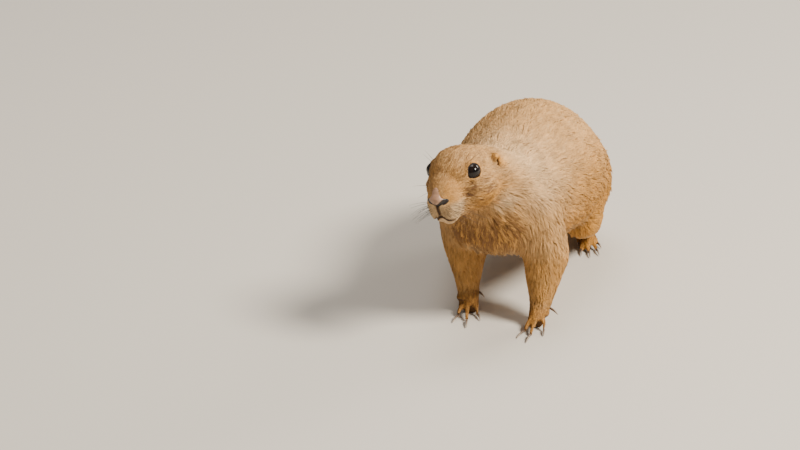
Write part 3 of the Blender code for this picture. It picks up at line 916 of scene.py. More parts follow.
# %% Nose skin
nose = make_nose()
nose_paint = paint("nose_bare_skin", (0.42, 0.24, 0.18), 0.42, Specular_IOR_Level=0.55)
pebble = node(nose_paint, "TexVoronoi", {"Vector": place_of(nose_paint), "Scale": 2200.0})
pink = ramp(nose_paint, noise(nose_paint, 260.0), [
    (0.3, (0.36, 0.195, 0.115)), (0.7, (0.47, 0.28, 0.18)),
])
# Painted shade: near black in the nostrils and under the pad's lower edge.
nostril_and_pad_shade = attribute_of(nose_paint, "dark").outputs["Fac"]
feed(mix(nose_paint, nostril_and_pad_shade, pink, (0.012, 0.007, 0.006)), shader_of(nose_paint).inputs["Base Color"])
bumped(nose_paint, pebble.outputs["Distance"], 0.25, 0.0002)
nose.data.materials.append(nose_paint)
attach(nose, "root")
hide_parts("nose")
print("nose pad has", len(nose.data.polygons), "faces")

# %% [markdown]
# ## Claws
# Each claw is a horn cone that the CAD already places and curves. A copy is swollen a little
# and rounded by two rounds of subdivision, and its colour runs from brown at the root to a
# paler tip.

# %% Claws
CLAW_SWELL = 0.12

claw_paint = paint("claw_horn", (0.1, 0.07, 0.05), 0.32, Specular_IOR_Level=0.6, Coat_Weight=0.15)
graded(claw_paint, "along", 2500.0, 0.35, [
    (0.15, (0.085, 0.052, 0.034)),
    (0.60, (0.150, 0.105, 0.075)),
    (1.10, (0.360, 0.290, 0.225)),
])


def make_claw(name):
    """A rounded copy of a CAD claw. The attribute runs from 0 at the paw to 1 at the tip."""
    mesh = NODES[name].data.copy()
    claw = new_object(name.replace("claw", "horn_claw"), mesh)
    bm = merged(mesh)
    bmesh.ops.dissolve_limit(bm, angle_limit=0.02, verts=bm.verts, edges=bm.edges)
    for v in bm.verts:
        v.co += v.normal * CLAW_SWELL * MM
    finish_bmesh(bm, mesh)
    apply_modifier(claw, "SUBSURF", levels=2, render_levels=2)
    paw = node_middle(name.replace("claw_", "").rsplit("_", 1)[0])
    reach = np.linalg.norm(read_points(mesh)[:, :2] - paw[:2], axis=1)
    add_attribute(mesh, "along", (reach - reach.min()) / np.ptp(reach))
    mesh.materials.clear()
    mesh.materials.append(claw_paint)
    pick(claw)
    bpy.ops.object.shade_smooth()
    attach(claw, "root")
    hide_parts(name)
    return claw


claws = [make_claw(name) for name in sorted(NODES) if name.startswith("claw")]
print(len(claws), "claws")

# %% [markdown]
# ## Markings
# Skin and coat wear the same markings, so both read them from the same few masks: gold on
# the flanks, legs, feet, jaw and round the eye, pale on the lips, throat, belly, nape and
# shoulders, dark for the streaked cheek, the chest and the line of the mouth, and black for
# the end of the tail. Much of the dark is painted shade: the chest's dark and the band under
# the chin, a little on the flanks, the hair along the mouth, the fold under the eye and the
# ear's slit. What is left is the sandy back. The numbers in the steps and bumps are
# millimetres, on the body or in the head's frame.

# %% What the masks are made of
def waves(places, size, seed):
    """A smooth random number from -1 to 1 that changes over about this many millimetres."""
    rng = np.random.default_rng(seed)
    total = 0
    for _ in range(5):
        direction = unit(rng.normal(size=3)) * math.tau / (size * rng.uniform(0.8, 1.7))
        total = total + np.sin(places @ direction + rng.uniform(0, math.tau))
    return total / 3.0


def share_of(*starts):
    """1 on the named parts and 0 elsewhere, with a soft border."""
    return spread(by_node(part, {start: 1.0 for start in starts}, 0.0), pairs, 25)


points = read_points(skin.data)
normals = read_normals(skin.data)
part = nearest_nodes(points)
pairs = edge_pairs(skin.data)
in_head = to_head(points)
body_y, body_z = points[:, 1], points[:, 2]
head_x, head_y, head_z = in_head.T
side_x = np.abs(head_x)
near_eye = eye_distance(in_head)
past_edge = past_lid(in_head)
ear_slit, ear_rim = ear_parts(in_head)
mouth_near = np.minimum(line_distance(in_head, MOUTH), line_distance(in_head, CLEFT) + 0.2)
mouth_near = np.maximum(mouth_near - 0.9, 0.0)

on_head = share_of("head", "ear")
on_feet = share_of("forepaw", "hind_foot")
on_hind_feet = share_of("hind_foot")
on_legs = share_of("forearm", "upper_arm", "shank", "thigh")
on_upper_arms = share_of("upper_arm")
on_ears = share_of("ear")
on_tail = share_of("tail")
off_head = 1 - on_head
off_legs = 1 - on_legs
print("masks start from", len(points), "points")

# %% Markings of the body
low = smoothstep(98, 58, body_z) * smoothstep(-95, -70, body_y)
facing_down = smoothstep(-0.5, -0.95, normals[:, 2])
rump = smoothstep(40, 85, body_y) * smoothstep(105, 55, body_z)
flank = bump_at(body_y, -25.0, 75.0) * smoothstep(108, 80, body_z) * off_head
# The chest is gold, and is also darkened as painted shade; the band just under the chin is the head's
# painted shadow.
chest = smoothstep(-78, -98, body_y) * smoothstep(112, 92, body_z) * off_head
chest *= smoothstep(0.1, -0.35, normals[:, 1]) * off_legs
chin_shadow_on_chest = bump_at(body_z, 82.0, 12.0) * chest
shoulder = bump_at(body_y, -104.0, 32.0) * smoothstep(75, 105, body_z) * off_head
nape = smoothstep(96, 112, body_z) * bump_at(body_y, -100.0, 34.0) * off_head
upper_arms = on_upper_arms * smoothstep(35, 60, body_z)
pads = on_feet * smoothstep(0.15, -0.3, normals[:, 2]) * smoothstep(14, 9, body_z)

TAIL_BLACK = node_middle("tail_tip")[1] - 14.0
black = smoothstep(TAIL_BLACK - 8, TAIL_BLACK + 8, body_y) * on_tail
print("the tail is black from", round(TAIL_BLACK), "mm along the body")

# %% Markings of the head
jaw = smoothstep(-12, -20, head_z) * smoothstep(-12, -2, head_y)
snout_side = smoothstep(-8, -15, head_y) * smoothstep(-18, -12, head_z) * smoothstep(3, 8, side_x)
lips = smoothstep(-10.5, -15, head_y) * smoothstep(-14.5, -18, head_z) * on_head
throat = smoothstep(-24, -30, head_z) * on_head
over_eye = 0.65 + 0.35 * smoothstep(-3, 4, head_z)
eye_ring = bump_at(past_edge, 0.24, 0.26) * over_eye * on_head
cheek_spot = bump_at(head_y, -3.0, 16.0) * bump_at(head_z, -13.0, 8.0)
cheek_spot *= smoothstep(10, 15, side_x) * on_head
cheek_lines = smoothstep(-0.35, 0.35, waves(in_head * (0.45, 0.20, 1.0), 3.4, 11))
pale_cheek = bump_at(head_y, 22.0, 9.0) * bump_at(head_z, -29.0, 7.0) * smoothstep(12, 18, side_x)
forehead = smoothstep(-8, 2, head_z) * smoothstep(26, 12, side_x) * on_head
ridge = bump_at(head_x, 0.0, 2.8) * smoothstep(1, -4, head_z) * smoothstep(-19, -22, head_y)
# Painted shade along the fold under the eye.
under_eye_fold_shade = bump_at(line_distance(in_head, UNDER_EYE), 0.0, 2.2)
# The mouth's line and the cleft: dark lip skin, with painted shade in the line.
mouth_line_and_shade = bump_at(mouth_near, 0.0, 0.75) * on_head
print("eye rings:", round(100 * (eye_ring > 0.5).mean(), 1), "% of the skin's points")

# %% Four masks over the skin
gold = np.maximum.reduce([
    np.clip(0.95 * low + 0.85 * rump, 0, 1) * off_head,
    0.55 * on_legs * smoothstep(95, 55, body_z),
    0.75 * flank * off_legs,
    0.5 * on_feet + 0.45 * on_hind_feet,
    0.85 * on_tail,
    on_head * (0.12 + 0.75 * jaw + 0.45 * snout_side),
    0.8 * eye_ring,
    np.clip(0.5 * on_ears + 0.9 * ear_rim, 0, 1),
    0.9 * chest,
    0.6 * upper_arms,
])
gold = gold * (1 - 0.8 * ridge)
pale = np.maximum.reduce([
    lips,
    0.3 * throat,
    0.05 * eye_ring,
    0.6 * nape,
    0.65 * shoulder,
    0.95 * pale_cheek,
    0.3 * upper_arms,
    0.65 * facing_down * off_head * (1 - on_feet),
])
# Streaks of the face, with painted shade along the mouth and under the eye.
face_streaks_and_shade = np.maximum.reduce([
    np.clip(1.9 * cheek_spot, 0, 1) * (0.2 + 0.8 * cheek_lines),
    0.45 * forehead,
    # Painted shade: darker hair along the mouth.
    0.9 * bump_at(mouth_near, 0.0, 1.3) * on_head,
    # Painted shade along the fold under the eye.
    0.55 * under_eye_fold_shade,
])
# Dark streaks, together with painted shade on the chest, flanks, mouth and ear.
dark_streaks_and_shade = np.maximum.reduce([
    face_streaks_and_shade * on_head,
    0.3 * on_hind_feet,
    # Painted shade on the chest, and the head's painted shadow just under the chin.
    0.65 * chest + 0.3 * chin_shadow_on_chest,
    # Painted shade: a few dark streaks dim the flanks.
    0.22 * flank * off_legs,
    # Painted shade in the ear's slit.
    0.95 * smoothstep(0.2, 0.6, ear_slit),
])
marks = np.stack([np.clip(gold, 0, 1), pale, dark_streaks_and_shade, black], axis=1)
print("gold, pale, dark and black cover", marks.mean(axis=0).round(2))

# %% [markdown]
# ## The lie of the coat
# Hair lies away from the nose, over the head, along the neck and back to the tail. On the
# flanks it also falls, and on a limb it runs down to the toes. A direction is set for each
# part, worked out from the nose, the spine or the foot it belongs to, and then blurred over
# the skin, so that one part's coat turns smoothly into the next.

# %% Directions of each part
NOSE_TIP = np.array((0.0, -30.0, -14.0))
STRAIGHT = {
    "neck": (0.0, 1.0, -0.35), "upper_arm": (0.0, 0.35, -1.0), "forearm": (0.0, 0.12, -1.0),
    "thigh": (0.0, 0.8, -0.75), "shank": (0.0, 0.9, -0.5), "trunk": (0.0, 1.0, 0.0),
}


def head_lie(places):
    """Hair runs away from the nose, and round each eye away from the eye."""
    away = unit(places - NOSE_TIP) + (0.0, 0.45, -0.12)
    for sign, look in EYE_LOOK.items():
        ray = places - eye_middle(sign)
        close = smoothstep(12.0, 7.5, np.linalg.norm(ray, axis=1))
        away += unit(ray - look * (ray @ look)[:, None]) * 1.6 * close[:, None]
    return away @ HEAD_AXES.T


def foot_lie(name, places):
    """Hair fans out from a point over the heel or wrist."""
    low_corner, high_corner = [np.array(v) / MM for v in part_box(name)]
    middle = (low_corner[0] + high_corner[0]) / 2
    return unit(places - (middle, high_corner[1], high_corner[2] - 2.0)) + (0.0, -0.35, -0.15)


lie = np.zeros_like(points)
for index, name in enumerate(FLESH):
    here = part == index
    if name.startswith(("head", "ear")):
        lie[here] = head_lie(in_head[here])
    elif name.startswith(("forepaw", "hind_foot")):
        lie[here] = foot_lie(name, points[here])
    elif name.startswith("tail"):
        down = smoothstep(130, 95, body_y[here])
        lie[here] = np.stack([-0.15 + 0 * down, np.ones_like(down), -0.85 * down], axis=1)
    else:
        lie[here] = for_node(name, STRAIGHT)


print("directions for", len(FLESH), "parts")

# %% Let the hair fall, and blend the parts
on_trunk = part == FLESH.index("trunk")
side_fall = smoothstep(100, 45, body_z) * (1 - np.abs(normals[:, 2]))
chest_fall = smoothstep(-85, -115, body_y) * smoothstep(105, 80, body_z)
fringe = bump_at(body_z, 58.0, 11.0) * smoothstep(-82, -98, body_y) * on_trunk
fringe = spread(fringe, pairs, 6)
fall = np.clip(0.15 + 1.2 * fringe + 0.75 * side_fall + 0.9 * chest_fall, 0, 1.6) * on_trunk
lie[:, 2] -= fall


def flat_on(directions, normals):
    """Directions laid into the surface."""
    return unit(directions - normals * (directions * normals).sum(axis=1, keepdims=True))


lie = flat_on(unit(spread(unit(lie), pairs, 60)), normals)
print("the coat's lie is set at", len(lie), "points")

# %% [markdown]
# ## Hair sizes
# Each part has its own length, width and number of hairs for each square millimetre. The
# lengths suit a short summer coat: 11 mm on the back, a little more on the rump, 2 mm and
# less on muzzle and toes, and long on the tail.

# %% Length, width and closeness of each part
LENGTH = {
    "tail_tip": 15.0, "tail": 12.0, "trunk": 11.0, "neck": 9.5, "thigh": 11.0, "shank": 7.0,
    "upper_arm": 7.5, "forearm": 4.8, "forepaw": 1.5, "hind_foot": 1.5, "ear": 2.0, "head": 4.4,
}
WIDTH = {
    "tail": 0.44, "trunk": 0.40, "neck": 0.38, "thigh": 0.40, "shank": 0.36, "upper_arm": 0.36,
    "forearm": 0.32, "forepaw": 0.22, "hind_foot": 0.22, "ear": 0.24, "head": 0.28,
}
CLOSENESS = {
    "tail": 4.0, "trunk": 4.6, "neck": 5.2, "thigh": 4.6, "shank": 4.4, "upper_arm": 5.0,
    "forearm": 5.6, "forepaw": 8.0, "hind_foot": 7.0, "ear": 8.0, "head": 8.0,
}
MUZZLE_LENGTH, MUZZLE_WIDTH, MUZZLE_DEPTH = 1.7, 0.22, 0.5

length, width, closeness, depth = [
    spread(by_node(part, table, other), pairs, 30)
    for table, other in ((LENGTH, 4.0), (WIDTH, 4.0), (CLOSENESS, 4.0), (DEPTH, OTHER_DEPTH))
]
face_short = smoothstep(-6, -16, head_y) + (1 - smoothstep(7, 11, near_eye))
face_short = np.clip(face_short, 0, 1) * on_head
cheek_here = smoothstep(-10, -16, head_z) * smoothstep(-6, 6, head_y) * on_head
off_end = (1 - on_tail) * (1 - on_feet)
shaggy = smoothstep(20, 70, body_y) * off_end + fringe

length = length * (1 - face_short) + MUZZLE_LENGTH * face_short
width = width * (1 - face_short) + MUZZLE_WIDTH * face_short
depth = depth * (1 - face_short) + MUZZLE_DEPTH * face_short + 0.8 * cheek_here + 1.6 * fringe
closeness = closeness + 3.0 * face_short
length += 4.0 * fringe
length += 2.6 * cheek_here
length *= 1 + 0.25 * smoothstep(55, 85, body_y) * off_end
length -= 0.8 * bump_at(mouth_near, 1.5, 2.5) * on_head
ear_near = np.linalg.norm((folded(in_head) - EAR_PLACE) / (1, 1, 1.3), axis=1)
length *= 0.3 + 0.7 * smoothstep(1.5, 7.0, ear_near)
print("hair from", length.min().round(1), "to", length.max().round(1), "mm long")

# %% Where the skin stays bare
PAD_BARE = (1.2, 4.4, 7.6, 9.2, 7.4, 4.2, 3.1, 2.7, 2.3, 1.2, 0.0)

inside_pad = np.interp(head_z, NOSE_HEIGHTS, PAD_BARE) - side_x
bare = np.maximum.reduce([
    smoothstep(1.3, 0.5, mouth_near) * on_head,
    (body_z < 1.0) * (1 - on_tail),
    smoothstep(-0.2, 0.6, inside_pad) * smoothstep(-17, -20, head_y),
    smoothstep(0.5, 0.9, pads),
    (past_edge < 0.05).astype(float),
    np.clip(2.0 * ear_slit, 0, 1),
])
closeness *= 1 - bare
print("bare:", round(100 * bare.mean()), "% of the skin's points")

# %% [markdown]
# ## How the coat is made
# A hair is a flat blade of three triangles: two points at the root, two at the bend and
# one at the tip. Three blades that lean together make a tuft. The roots are dealt evenly
# over the skin by area, each tuft follows the lie of the coat with a little play, and its
# tip is set at the coat's depth over the nearest skin, so that it lies along the body even
# where the body curves. All of this is done on arrays, since there are over a hundred
# thousand tufts.

# %% Deal out roots
BLADES = 3

body_tree = search_tree(points, triangles)
corners = points[triangles]
face_normals = np.cross(corners[:, 1] - corners[:, 0], corners[:, 2] - corners[:, 0])
face_area = np.linalg.norm(face_normals, axis=1) / 2
face_hairs = face_area * closeness[triangles].mean(axis=1)
face_middle = corners.mean(axis=1)
face_part = part[triangles[:, 0]]
print("the skin measures", int(face_area.sum() / 100), "square centimetres and takes",
      int(face_hairs.sum()), "hairs")


def deal_roots(chosen, rng):
    """Root faces and places in them, dealt evenly by the hairs each face should carry."""
    share = face_hairs[chosen]
    count = int(share.sum() / BLADES)
    marks_on_line = (np.arange(count) + rng.random(count)) / count * share.sum()
    face = chosen[np.clip(np.searchsorted(np.cumsum(share), marks_on_line), 0, len(chosen) - 1)]
    a, b = rng.random(count), rng.random(count)
    flip = a + b > 1
    a, b = np.where(flip, 1 - a, a), np.where(flip, 1 - b, b)
    return face, np.stack([1 - a - b, a, b], axis=1)


def read_at(values, face, weights):
    """Skin values at places inside its triangles."""
    picked = values[triangles[face]]
    if picked.ndim == 2:
        return (picked * weights).sum(axis=1)
    return (picked * weights[:, :, None]).sum(axis=1)


# %% Gather tufts into locks
LOCK_TUFTS = 9
LOCK_STRETCH = 4.2
LEADERS_NEAR = 8


def lock_of(root, along, rng):
    """For each tuft, the number of the tuft that leads its lock. Locks are long and narrow."""
    leaders = np.nonzero(rng.random(len(root)) < 1 / LOCK_TUFTS)[0]
    tree = KDTree(len(leaders))
    for index, place in enumerate(root[leaders]):
        tree.insert(place, index)
    tree.balance()
    near = np.array([[hit[1] for hit in tree.find_n(place, LEADERS_NEAR)] for place in root])
    away = root[leaders[near]] - root[:, None, :]
    run = (away * along[:, None, :]).sum(axis=2)
    beside = (away ** 2).sum(axis=2) - run ** 2
    best = (beside + (run / LOCK_STRETCH) ** 2).argmin(axis=1)
    return leaders[near[np.arange(len(root)), best]]


print("a lock has about", LOCK_TUFTS, "tufts")

# %% Set the tufts
GATHER = 0.55
PROUD = 0.82
STANDS_OUT = 0.985
LOCK_SPOTS = 0.65


def columns(values):
    return values[:, None]


def lay_tufts(chosen, rng):
    """Where each tuft starts, heads and ends, how wide and deep it is, and its markings."""
    face, weights = deal_roots(chosen, rng)
    count = len(face)
    root, up, along, long, wide, deep, mark, wild = [
        read_at(values, face, weights)
        for values in (points, normals, lie, length, width, depth, marks, shaggy)
    ]
    up = unit(up)
    along = flat_on(along, up)
    long = long * rng.uniform(0.78, 1.18, count)
    wide = wide * rng.uniform(0.8, 1.2, count)
    leader = lock_of(root, along, rng)

    def shared(own_size, lock_size):
        """Random play of each tuft, part of it its own and part of it its lock's."""
        return rng.normal(0, own_size, count) + rng.normal(0, lock_size, count)[leader]

    across = np.cross(up, along)
    play = 0.20 * waves(root, 26.0, 5) + 0.12 * waves(root, 9.0, 6) + shared(0.06, 0.10)
    heading = along * columns(np.cos(play)) + across * columns(np.sin(play))
    reach = root + heading * columns(long * 0.95)
    over = [body_tree.find_nearest(Vector(p)) for p in reach]
    ground, ground_up = [np.array([tuple(hit[k]) for hit in over]) for k in (0, 1)]
    proud = PROUD + shared(0.07, 0.13)
    proud += (0.35 + 0.5 * wild) * (rng.random(count) > STANDS_OUT - 0.02 * wild)
    tip = ground + ground_up * columns(deep * proud)
    off_lock = tip - tip[leader]
    run = (off_lock * heading).sum(axis=1, keepdims=True)
    tip = tip - GATHER * (off_lock - run * heading)

    spot = rng.random(count)
    spot = np.where(rng.random(count) < LOCK_SPOTS, spot[leader], spot)
    tone = np.clip(0.5 + 0.26 * waves(root, 11.0, 7) + shared(0.08, 0.17), 0, 1)
    return root, up, heading, across, tip, wide, deep, mark, tone, spot


print("tips are gathered into their lock by", GATHER)

# %% Cut each tuft into blades
TUFT_REACH = 1.9
ROOT_SINK = 0.15
TIP_SPREAD = 0.45
BEND_AT = 0.48
BEND_LIFT = 0.50
ROLL = 0.30
ROOT_NARROWS = 0.8
CLEAR_OF_FLOOR = 0.15


def cut_blades(root, up, heading, across, tip, wide, deep, rng):
    """Five points for each blade: two at the root, two at the bend and the tip."""
    count = len(root)
    vertices = np.empty((count, BLADES, 5, 3))
    for k in range(BLADES):
        away = rng.uniform(0, math.tau, count)
        off = np.sqrt(rng.random(count)) * wide * TUFT_REACH
        shift = heading * columns(np.cos(away) * off) + across * columns(np.sin(away) * off)
        grown = columns(rng.uniform(0.82, 1.08, count))
        start = root + shift - up * ROOT_SINK
        end = start + (tip + TIP_SPREAD * shift - start) * grown
        lift = BEND_LIFT * deep * rng.uniform(0.8, 1.2, count)
        bend = start * (1 - BEND_AT) + end * BEND_AT + up * columns(lift)
        roll = columns(rng.normal(0, ROLL, count))
        edge = unit(np.cross(heading, up)) * np.cos(roll) + up * np.sin(roll)
        half = columns(wide * rng.uniform(0.8, 1.2, count) * 0.5)
        foot = edge * half * ROOT_NARROWS
        for corner, place in enumerate((start - foot, start + foot, bend + edge * half,
                                        bend - edge * half, end)):
            vertices[:, k, corner] = place
    vertices[..., 2] = np.maximum(vertices[..., 2], CLEAR_OF_FLOOR)
    return vertices.reshape(-1, 5, 3)


print("blades bend at", BEND_AT, "of the way to the tip")

# %% Grow one piece of the coat
PATCH = 0.003
PATCH_U = np.array([-0.4, 0.4, 0.4, -0.4, 0.0]) * PATCH
PATCH_V = np.array([-0.5, -0.5, 0.0, 0.0, 0.5]) * PATCH
BLADE_CORNERS = np.array([[0, 1, 2, 3, 3, 2, 4]])
TOWARD_TIP = np.array([0.0, 0.0, 0.55, 0.55, 1.0])


def grow(name, chosen, chart, seed):
    """A mesh of tufts over the chosen faces of the skin, with its own map of bake patches."""
    rng = np.random.default_rng(seed)
    root, up, heading, across, tip, wide, deep, mark, tone, spot = lay_tufts(chosen, rng)
    vertices = cut_blades(root, up, heading, across, tip, wide, deep, rng)
    blades = len(vertices)
    first = np.arange(blades)[:, None]
    corner_order = (first * 5 + BLADE_CORNERS).ravel()

    mesh = bpy.data.meshes.new(name)
    mesh.vertices.add(blades * 5)
    mesh.loops.add(blades * 7)
    mesh.polygons.add(blades * 2)
    mesh.vertices.foreach_set("co", (vertices * MM).astype(np.float32).ravel())
    mesh.loops.foreach_set("vertex_index", corner_order.astype(np.int32))
    mesh.polygons.foreach_set("loop_start", (first * 7 + (0, 4)).ravel().astype(np.int32))
    mesh.polygons.foreach_set("loop_total", np.tile((4, 3), blades).astype(np.int32))
    mesh.update(calc_edges=True)
    mesh.polygons.foreach_set("use_smooth", np.ones(blades * 2, bool))

    map_place = np.repeat(chart(root), BLADES, axis=0)[:, None, :]
    map_place = map_place + np.stack([PATCH_U, PATCH_V], axis=1)[None]
    bake_map = mesh.uv_layers.new(name="OFBake")
    bake_map.data.foreach_set("uv", map_place.reshape(-1, 2)[corner_order].astype(np.float32).ravel())

    each_point = BLADES * 5
    hair = np.stack([
        np.tile(TOWARD_TIP, blades), np.repeat(tone, each_point), np.repeat(spot, each_point),
        np.ones(blades * 5),
    ], axis=1)
    add_attribute(mesh, "hair", hair)
    add_attribute(mesh, "marks", np.repeat(mark, each_point, axis=0))
    coat = new_object(name, mesh)
    mesh.materials.append(coat_paint)
    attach(coat, "root")
    print(f"{name}: {len(root)} tufts, {blades * 3} triangles")
    return coat


# %% [markdown]
# ## Colour of skin and coat
# One group of nodes turns the masks into colour for both. A hair is darker at its root,
# where it stands in the shade of the others, and its tone varies from tuft to tuft. Some
# tufts end in a dark tip and some in a cream one, which gives the back its grizzled look.

# %% The shared colour group
SANDY = (0.54, 0.300, 0.108)
GOLDEN = (0.55, 0.262, 0.048)
CREAM = (0.67, 0.46, 0.245)
UMBER = (0.14, 0.060, 0.022)
SOOT = (0.018, 0.012, 0.009)
ROOT_TINT = (0.48, 0.40, 0.33)


def make_colour_group():
    """Tip runs from 0 at a hair's root to 1. Tone and Spot are a tuft's two random numbers."""
    group = bpy.data.node_groups.new("coat_colour", "ShaderNodeTree")
    for socket in ("Tip", "Tone", "Spot"):
        group.interface.new_socket(socket, in_out="INPUT", socket_type="NodeSocketFloat")
    group.interface.new_socket("Colour", in_out="OUTPUT", socket_type="NodeSocketColor")
    source = group.nodes.new("NodeGroupInput")
    target = group.nodes.new("NodeGroupOutput")
    masks = attribute_of(group, "marks")
    split = node(group, "SeparateColor", {"Color": masks.outputs["Color"]})

    def add(value, factor, plus):
        """value * factor + plus"""
        inputs = {0: value, 1: factor, 2: plus}
        return node(group, "Math", inputs, operation="MULTIPLY_ADD").outputs[0]

    def times(a, b):
        return node(group, "Math", {0: a, 1: b}, operation="MULTIPLY").outputs[0]

    def between(value, low, high):
        inputs = {"Value": value, "From Min": low, "From Max": high}
        return node(group, "MapRange", inputs, interpolation_type="SMOOTHSTEP").outputs["Result"]

    tip, tone, spot = [source.outputs[name] for name in ("Tip", "Tone", "Spot")]
    gold, pale, streak_and_shade_mask = [split.outputs[name] for name in ("Red", "Green", "Blue")]
    shade = add(tone, 0.46, 0.77)
    grey = node(group, "CombineColor", {"Red": shade, "Green": shade, "Blue": shade})
    colour = mix(group, gold, SANDY, GOLDEN)
    colour = mix(group, pale, colour, CREAM)
    colour = mix(group, 1.0, colour, grey.outputs["Color"], "MULTIPLY")

    end = between(tip, 0.45, 1.0)
    dark_tip = times(end, times(between(spot, 0.88, 0.96), 0.55))
    cream_tip = times(end, times(between(spot, 0.34, 0.12), add(gold, -0.55, 0.60)))
    # Dark streaks from the third mask, which also carries painted shade on the chest, flanks, mouth,
    # under-eye fold and ear slit.
    streak = times(streak_and_shade_mask, times(between(spot, 0.25, 0.45), 0.85))
    for factor, tint in ((dark_tip, UMBER), (cream_tip, CREAM), (streak, UMBER),
                         (masks.outputs["Alpha"], SOOT)):
        colour = mix(group, factor, colour, tint)

    at_root = add(between(tip, 0.0, 0.55), -1.0, 1.0)
    root_shade = times(at_root, add(pale, -0.25, 0.4))
    colour = mix(group, root_shade, colour, mix(group, 1.0, colour, ROOT_TINT, "MULTIPLY"))
    feed(colour, target.inputs["Colour"])
    return group


colour_group = make_colour_group()


def coat_colour(material, tip, tone, spot):
    """Adds the shared group to a material and gives its colour."""
    made = node(material, "Group", node_tree=colour_group)
    for name, value in (("Tip", tip), ("Tone", tone), ("Spot", spot)):
        feed(value, made.inputs[name])
    return made.outputs["Colour"]


print("the colour group has", len(colour_group.nodes), "nodes")

# %% Coat and skin
SKIN_TIP = 0.5

coat_paint = paint("coat_hair", (0.5, 0.35, 0.2), 0.62, Specular_IOR_Level=0.32)
hair_split = node(coat_paint, "SeparateColor", {
    "Color": attribute_of(coat_paint, "hair").outputs["Color"],
})
hair_values = [hair_split.outputs[channel] for channel in ("Red", "Green", "Blue")]
feed(coat_colour(coat_paint, *hair_values), shader_of(coat_paint).inputs["Base Color"])

skin_paint = paint("skin_under_coat", (0.4, 0.3, 0.2), 0.75, Specular_IOR_Level=0.25)
stubble = noise(skin_paint, 900.0)
under_coat = coat_colour(skin_paint, SKIN_TIP, noise(skin_paint, 350.0), stubble)
# Dark bare skin: the pads and lips, with painted shade in the mouth's line and the ear's slit.
bare_dark = attribute_of(skin_paint, "bare_dark").outputs["Fac"]
skin_colour = mix(skin_paint, bare_dark, under_coat, (0.030, 0.014, 0.010))
feed(skin_colour, shader_of(skin_paint).inputs["Base Color"])
bumped(skin_paint, stubble, 0.5, 0.0004)

add_attribute(skin.data, "marks", marks)
# Dark bare skin: pads, and painted shade along the mouth and in the ear's slit.
add_attribute(skin.data, "bare_dark", np.clip(mouth_line_and_shade + 1.6 * ear_slit + 0.7 * pads, 0, 1))
skin.data.materials.clear()
skin.data.materials.append(skin_paint)
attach(skin, "root")
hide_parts(*FLESH)
print("skin painted")

# %% [markdown]
# ## The pieces of the coat
# The coat is grown in several pieces, each small enough to export whole. Every piece has a
# map unrolled round its own length, like a label round a bottle, and each tuft takes a small
# patch of that map at the place of its root. A left and a right limb share one piece, each
# on its own half of the map.

# %% Charts
MIDLINE = node_middle("trunk")[0]


def roll_chart(middle, axis, half=None):
    """Unrolls the skin round an axis. With a half, the chart fills only that half's width."""
    axis = unit(np.array(axis, float))
    side = unit(np.cross(axis, (0.3, 0.2, 1.0) if abs(axis[2]) < 0.9 else (0.0, 1.0, 0.1)))
    other = np.cross(axis, side)

    def chart(places):
        rel = places - middle
        around = np.arctan2(rel @ other, rel @ side) / math.tau + 0.5
        run = rel @ axis
        run = (run - run.min()) / max(np.ptp(run), 1e-6)
        if half is not None:
            around = 0.5 * half + 0.5 * around
        return 0.01 + 0.98 * np.stack([around, run], axis=1)

    return chart


def limb_chart(name, axis):
    """A chart for a left and a right limb in one piece."""
    def chart(places):
        placed = np.empty((len(places), 2))
        for half, side in enumerate(SIGNS):
            here = (places[:, 0] > MIDLINE) == (side == "left")
            if here.any():
                one_side = roll_chart(node_middle(f"{name}_{side}"), axis, half)
                placed[here] = one_side(places[here])
        return placed

    return chart


print("left and right limbs part at", round(MIDLINE, 1), "mm")

# %% Pieces
TRUNK_BANDS = 5
FIRST_SEED = 100


def faces_of(*starts):
    indices = [i for i, name in enumerate(FLESH) if name.startswith(starts)]
    return np.isin(face_part, indices)


face_y = face_middle[:, 1]
trunk_faces = faces_of("trunk")
head_faces = faces_of("head", "ear")
head_left = to_head(face_middle)[:, 0] > 0
head_chart = roll_chart(from_head((0, 0, -12)), HEAD_AXES @ np.array((0.0, 1.0, 0.0)))
body_chart = roll_chart(node_middle("trunk"), (0, 1, 0))
PIECES = [
    ("coat_head_left", head_faces & head_left, head_chart),
    ("coat_head_right", head_faces & ~head_left, head_chart),
    ("coat_neck", faces_of("neck"), roll_chart(node_middle("neck"), (0, 1, -0.3))),
]
for piece, limb, axis in (
    ("upper_arms", "upper_arm", (0, 0, 1)), ("forearms", "forearm", (0, 0, 1)),
    ("forepaws", "forepaw", (0, 1, 0.4)), ("thighs", "thigh", (0, 0.5, 1)),
    ("shanks", "shank", (0, 1, 0)), ("hind_feet", "hind_foot", (0, 1, 0)),
):
    PIECES.append((f"coat_{piece}", faces_of(limb), limb_chart(limb, axis)))
PIECES.append(("coat_tail", faces_of("tail"), roll_chart(node_middle("tail"), (0, 1, -0.3))))

in_line = np.nonzero(trunk_faces)[0][np.argsort(face_y[trunk_faces])]
hairs_so_far = np.cumsum(face_hairs[in_line])
wanted_hairs = hairs_so_far[-1] * np.arange(TRUNK_BANDS + 1) / TRUNK_BANDS
cut_places = np.searchsorted(hairs_so_far, wanted_hairs).clip(0, len(in_line) - 1)
spine_cuts = face_y[in_line[cut_places]]
for index, (start, end) in enumerate(zip(spine_cuts, spine_cuts[1:])):
    before_end = (face_y < end) | (index == TRUNK_BANDS - 1)
    band = trunk_faces & (face_y >= start) & before_end
    PIECES.append((f"coat_trunk_{index + 1}", band, body_chart))

coats = [
    grow(name, np.nonzero(chosen)[0], chart, FIRST_SEED + index)
    for index, (name, chosen, chart) in enumerate(PIECES)
]
print("coat triangles in all:", sum(len(c.data.polygons) // 2 * 3 for c in coats))

# %% [markdown]
# ## Whiskers
# Prairie dogs have fine dark whiskers in rows on the upper lip, and a few bristles over the
# eye and on the cheek. Each is a thin tapered tube, bent back a little, and one side's are
# mirrored for the other, with its own play.

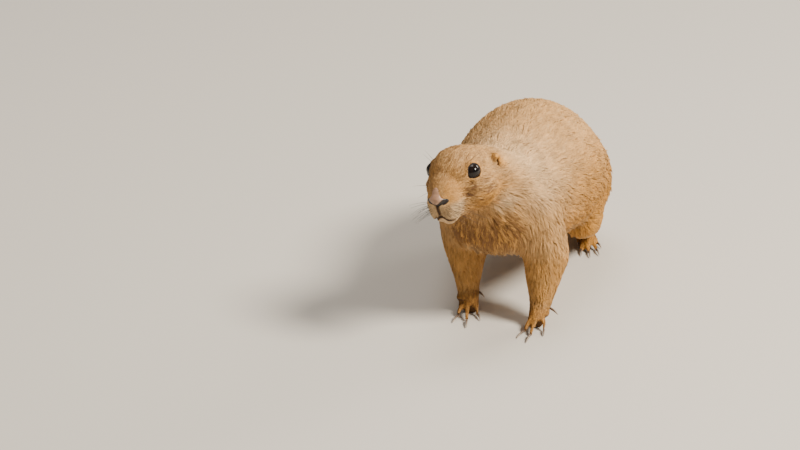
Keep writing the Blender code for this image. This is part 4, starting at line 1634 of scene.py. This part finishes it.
# %% Whiskers
WHISKER_SIDES = 4
WHISKER_STEPS = 7
WHISKER_SINK = 0.4
WHISKER_ROOTS = [
    (5.5 + 1.3 * column, -25.0 + 2.3 * column, -17.5 - 1.9 * row, 13.0 + 3.2 * column)
    for row in range(4) for column in range(4)
]
WHISKER_ROOTS += [
    (13.5, -3.0, 6.5, 12.0), (14.5, 0.0, 7.2, 14.0), (16.0, -11.0, -13.0, 15.0),
    (19.0, -6.0, -10.0, 13.0),
]


def whisker_rings(root, sign, long, rng):
    """The rings of points along one whisker, from under the skin to its tip."""
    start, up, _, _ = body_tree.find_nearest(Vector(from_head(root)))
    start = to_head(np.array(start))
    up = np.array(up) @ HEAD_AXES
    way = unit(up + np.array((0.45 * sign, 0.55, -0.25)) + rng.normal(0, 0.12, 3))
    droop = np.array((0.0, 0.30, -0.35)) + rng.normal(0, 0.06, 3)
    side = unit(np.cross(way, (0.0, 0.3, 1.0)))
    other = np.cross(way, side)
    long = long * rng.uniform(0.85, 1.15)
    rings = []
    for t in np.arange(WHISKER_STEPS) / (WHISKER_STEPS - 1):
        middle = start + way * (long * t - WHISKER_SINK) + droop * long * 0.5 * t * t
        radius = 0.12 * (1 - t) + 0.018
        for turn in math.tau * np.arange(WHISKER_SIDES) / WHISKER_SIDES:
            place = side * math.cos(turn) + other * math.sin(turn)
            rings.append(from_head(middle + place * radius))
    return rings


def make_whiskers():
    """All whiskers as one piece, each closed by a cap at both ends."""
    rng = np.random.default_rng(71)
    vertices, faces = [], []
    for sign in (1, -1):
        for x, y, z, long in WHISKER_ROOTS:
            first = len(vertices)
            vertices += whisker_rings((x * sign, y, z), sign, long, rng)
            faces += ring_faces(first, WHISKER_STEPS, WHISKER_SIDES)
            last = len(vertices) - WHISKER_SIDES
            faces.append(tuple(range(first + WHISKER_SIDES - 1, first - 1, -1)))
            faces.append(tuple(range(last, last + WHISKER_SIDES)))
    whiskers = swept("whiskers", vertices, faces)
    whiskers.data.materials.append(
        mottled("whisker_dark", (0.028, 0.017, 0.012), (0.042, 0.027, 0.020), 500.0, 0.4)
    )
    pick(whiskers)
    bpy.ops.object.shade_smooth()
    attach(whiskers, "root")
    return whiskers


print(len(WHISKER_ROOTS) * 2, "whiskers,", len(make_whiskers().data.polygons), "faces")
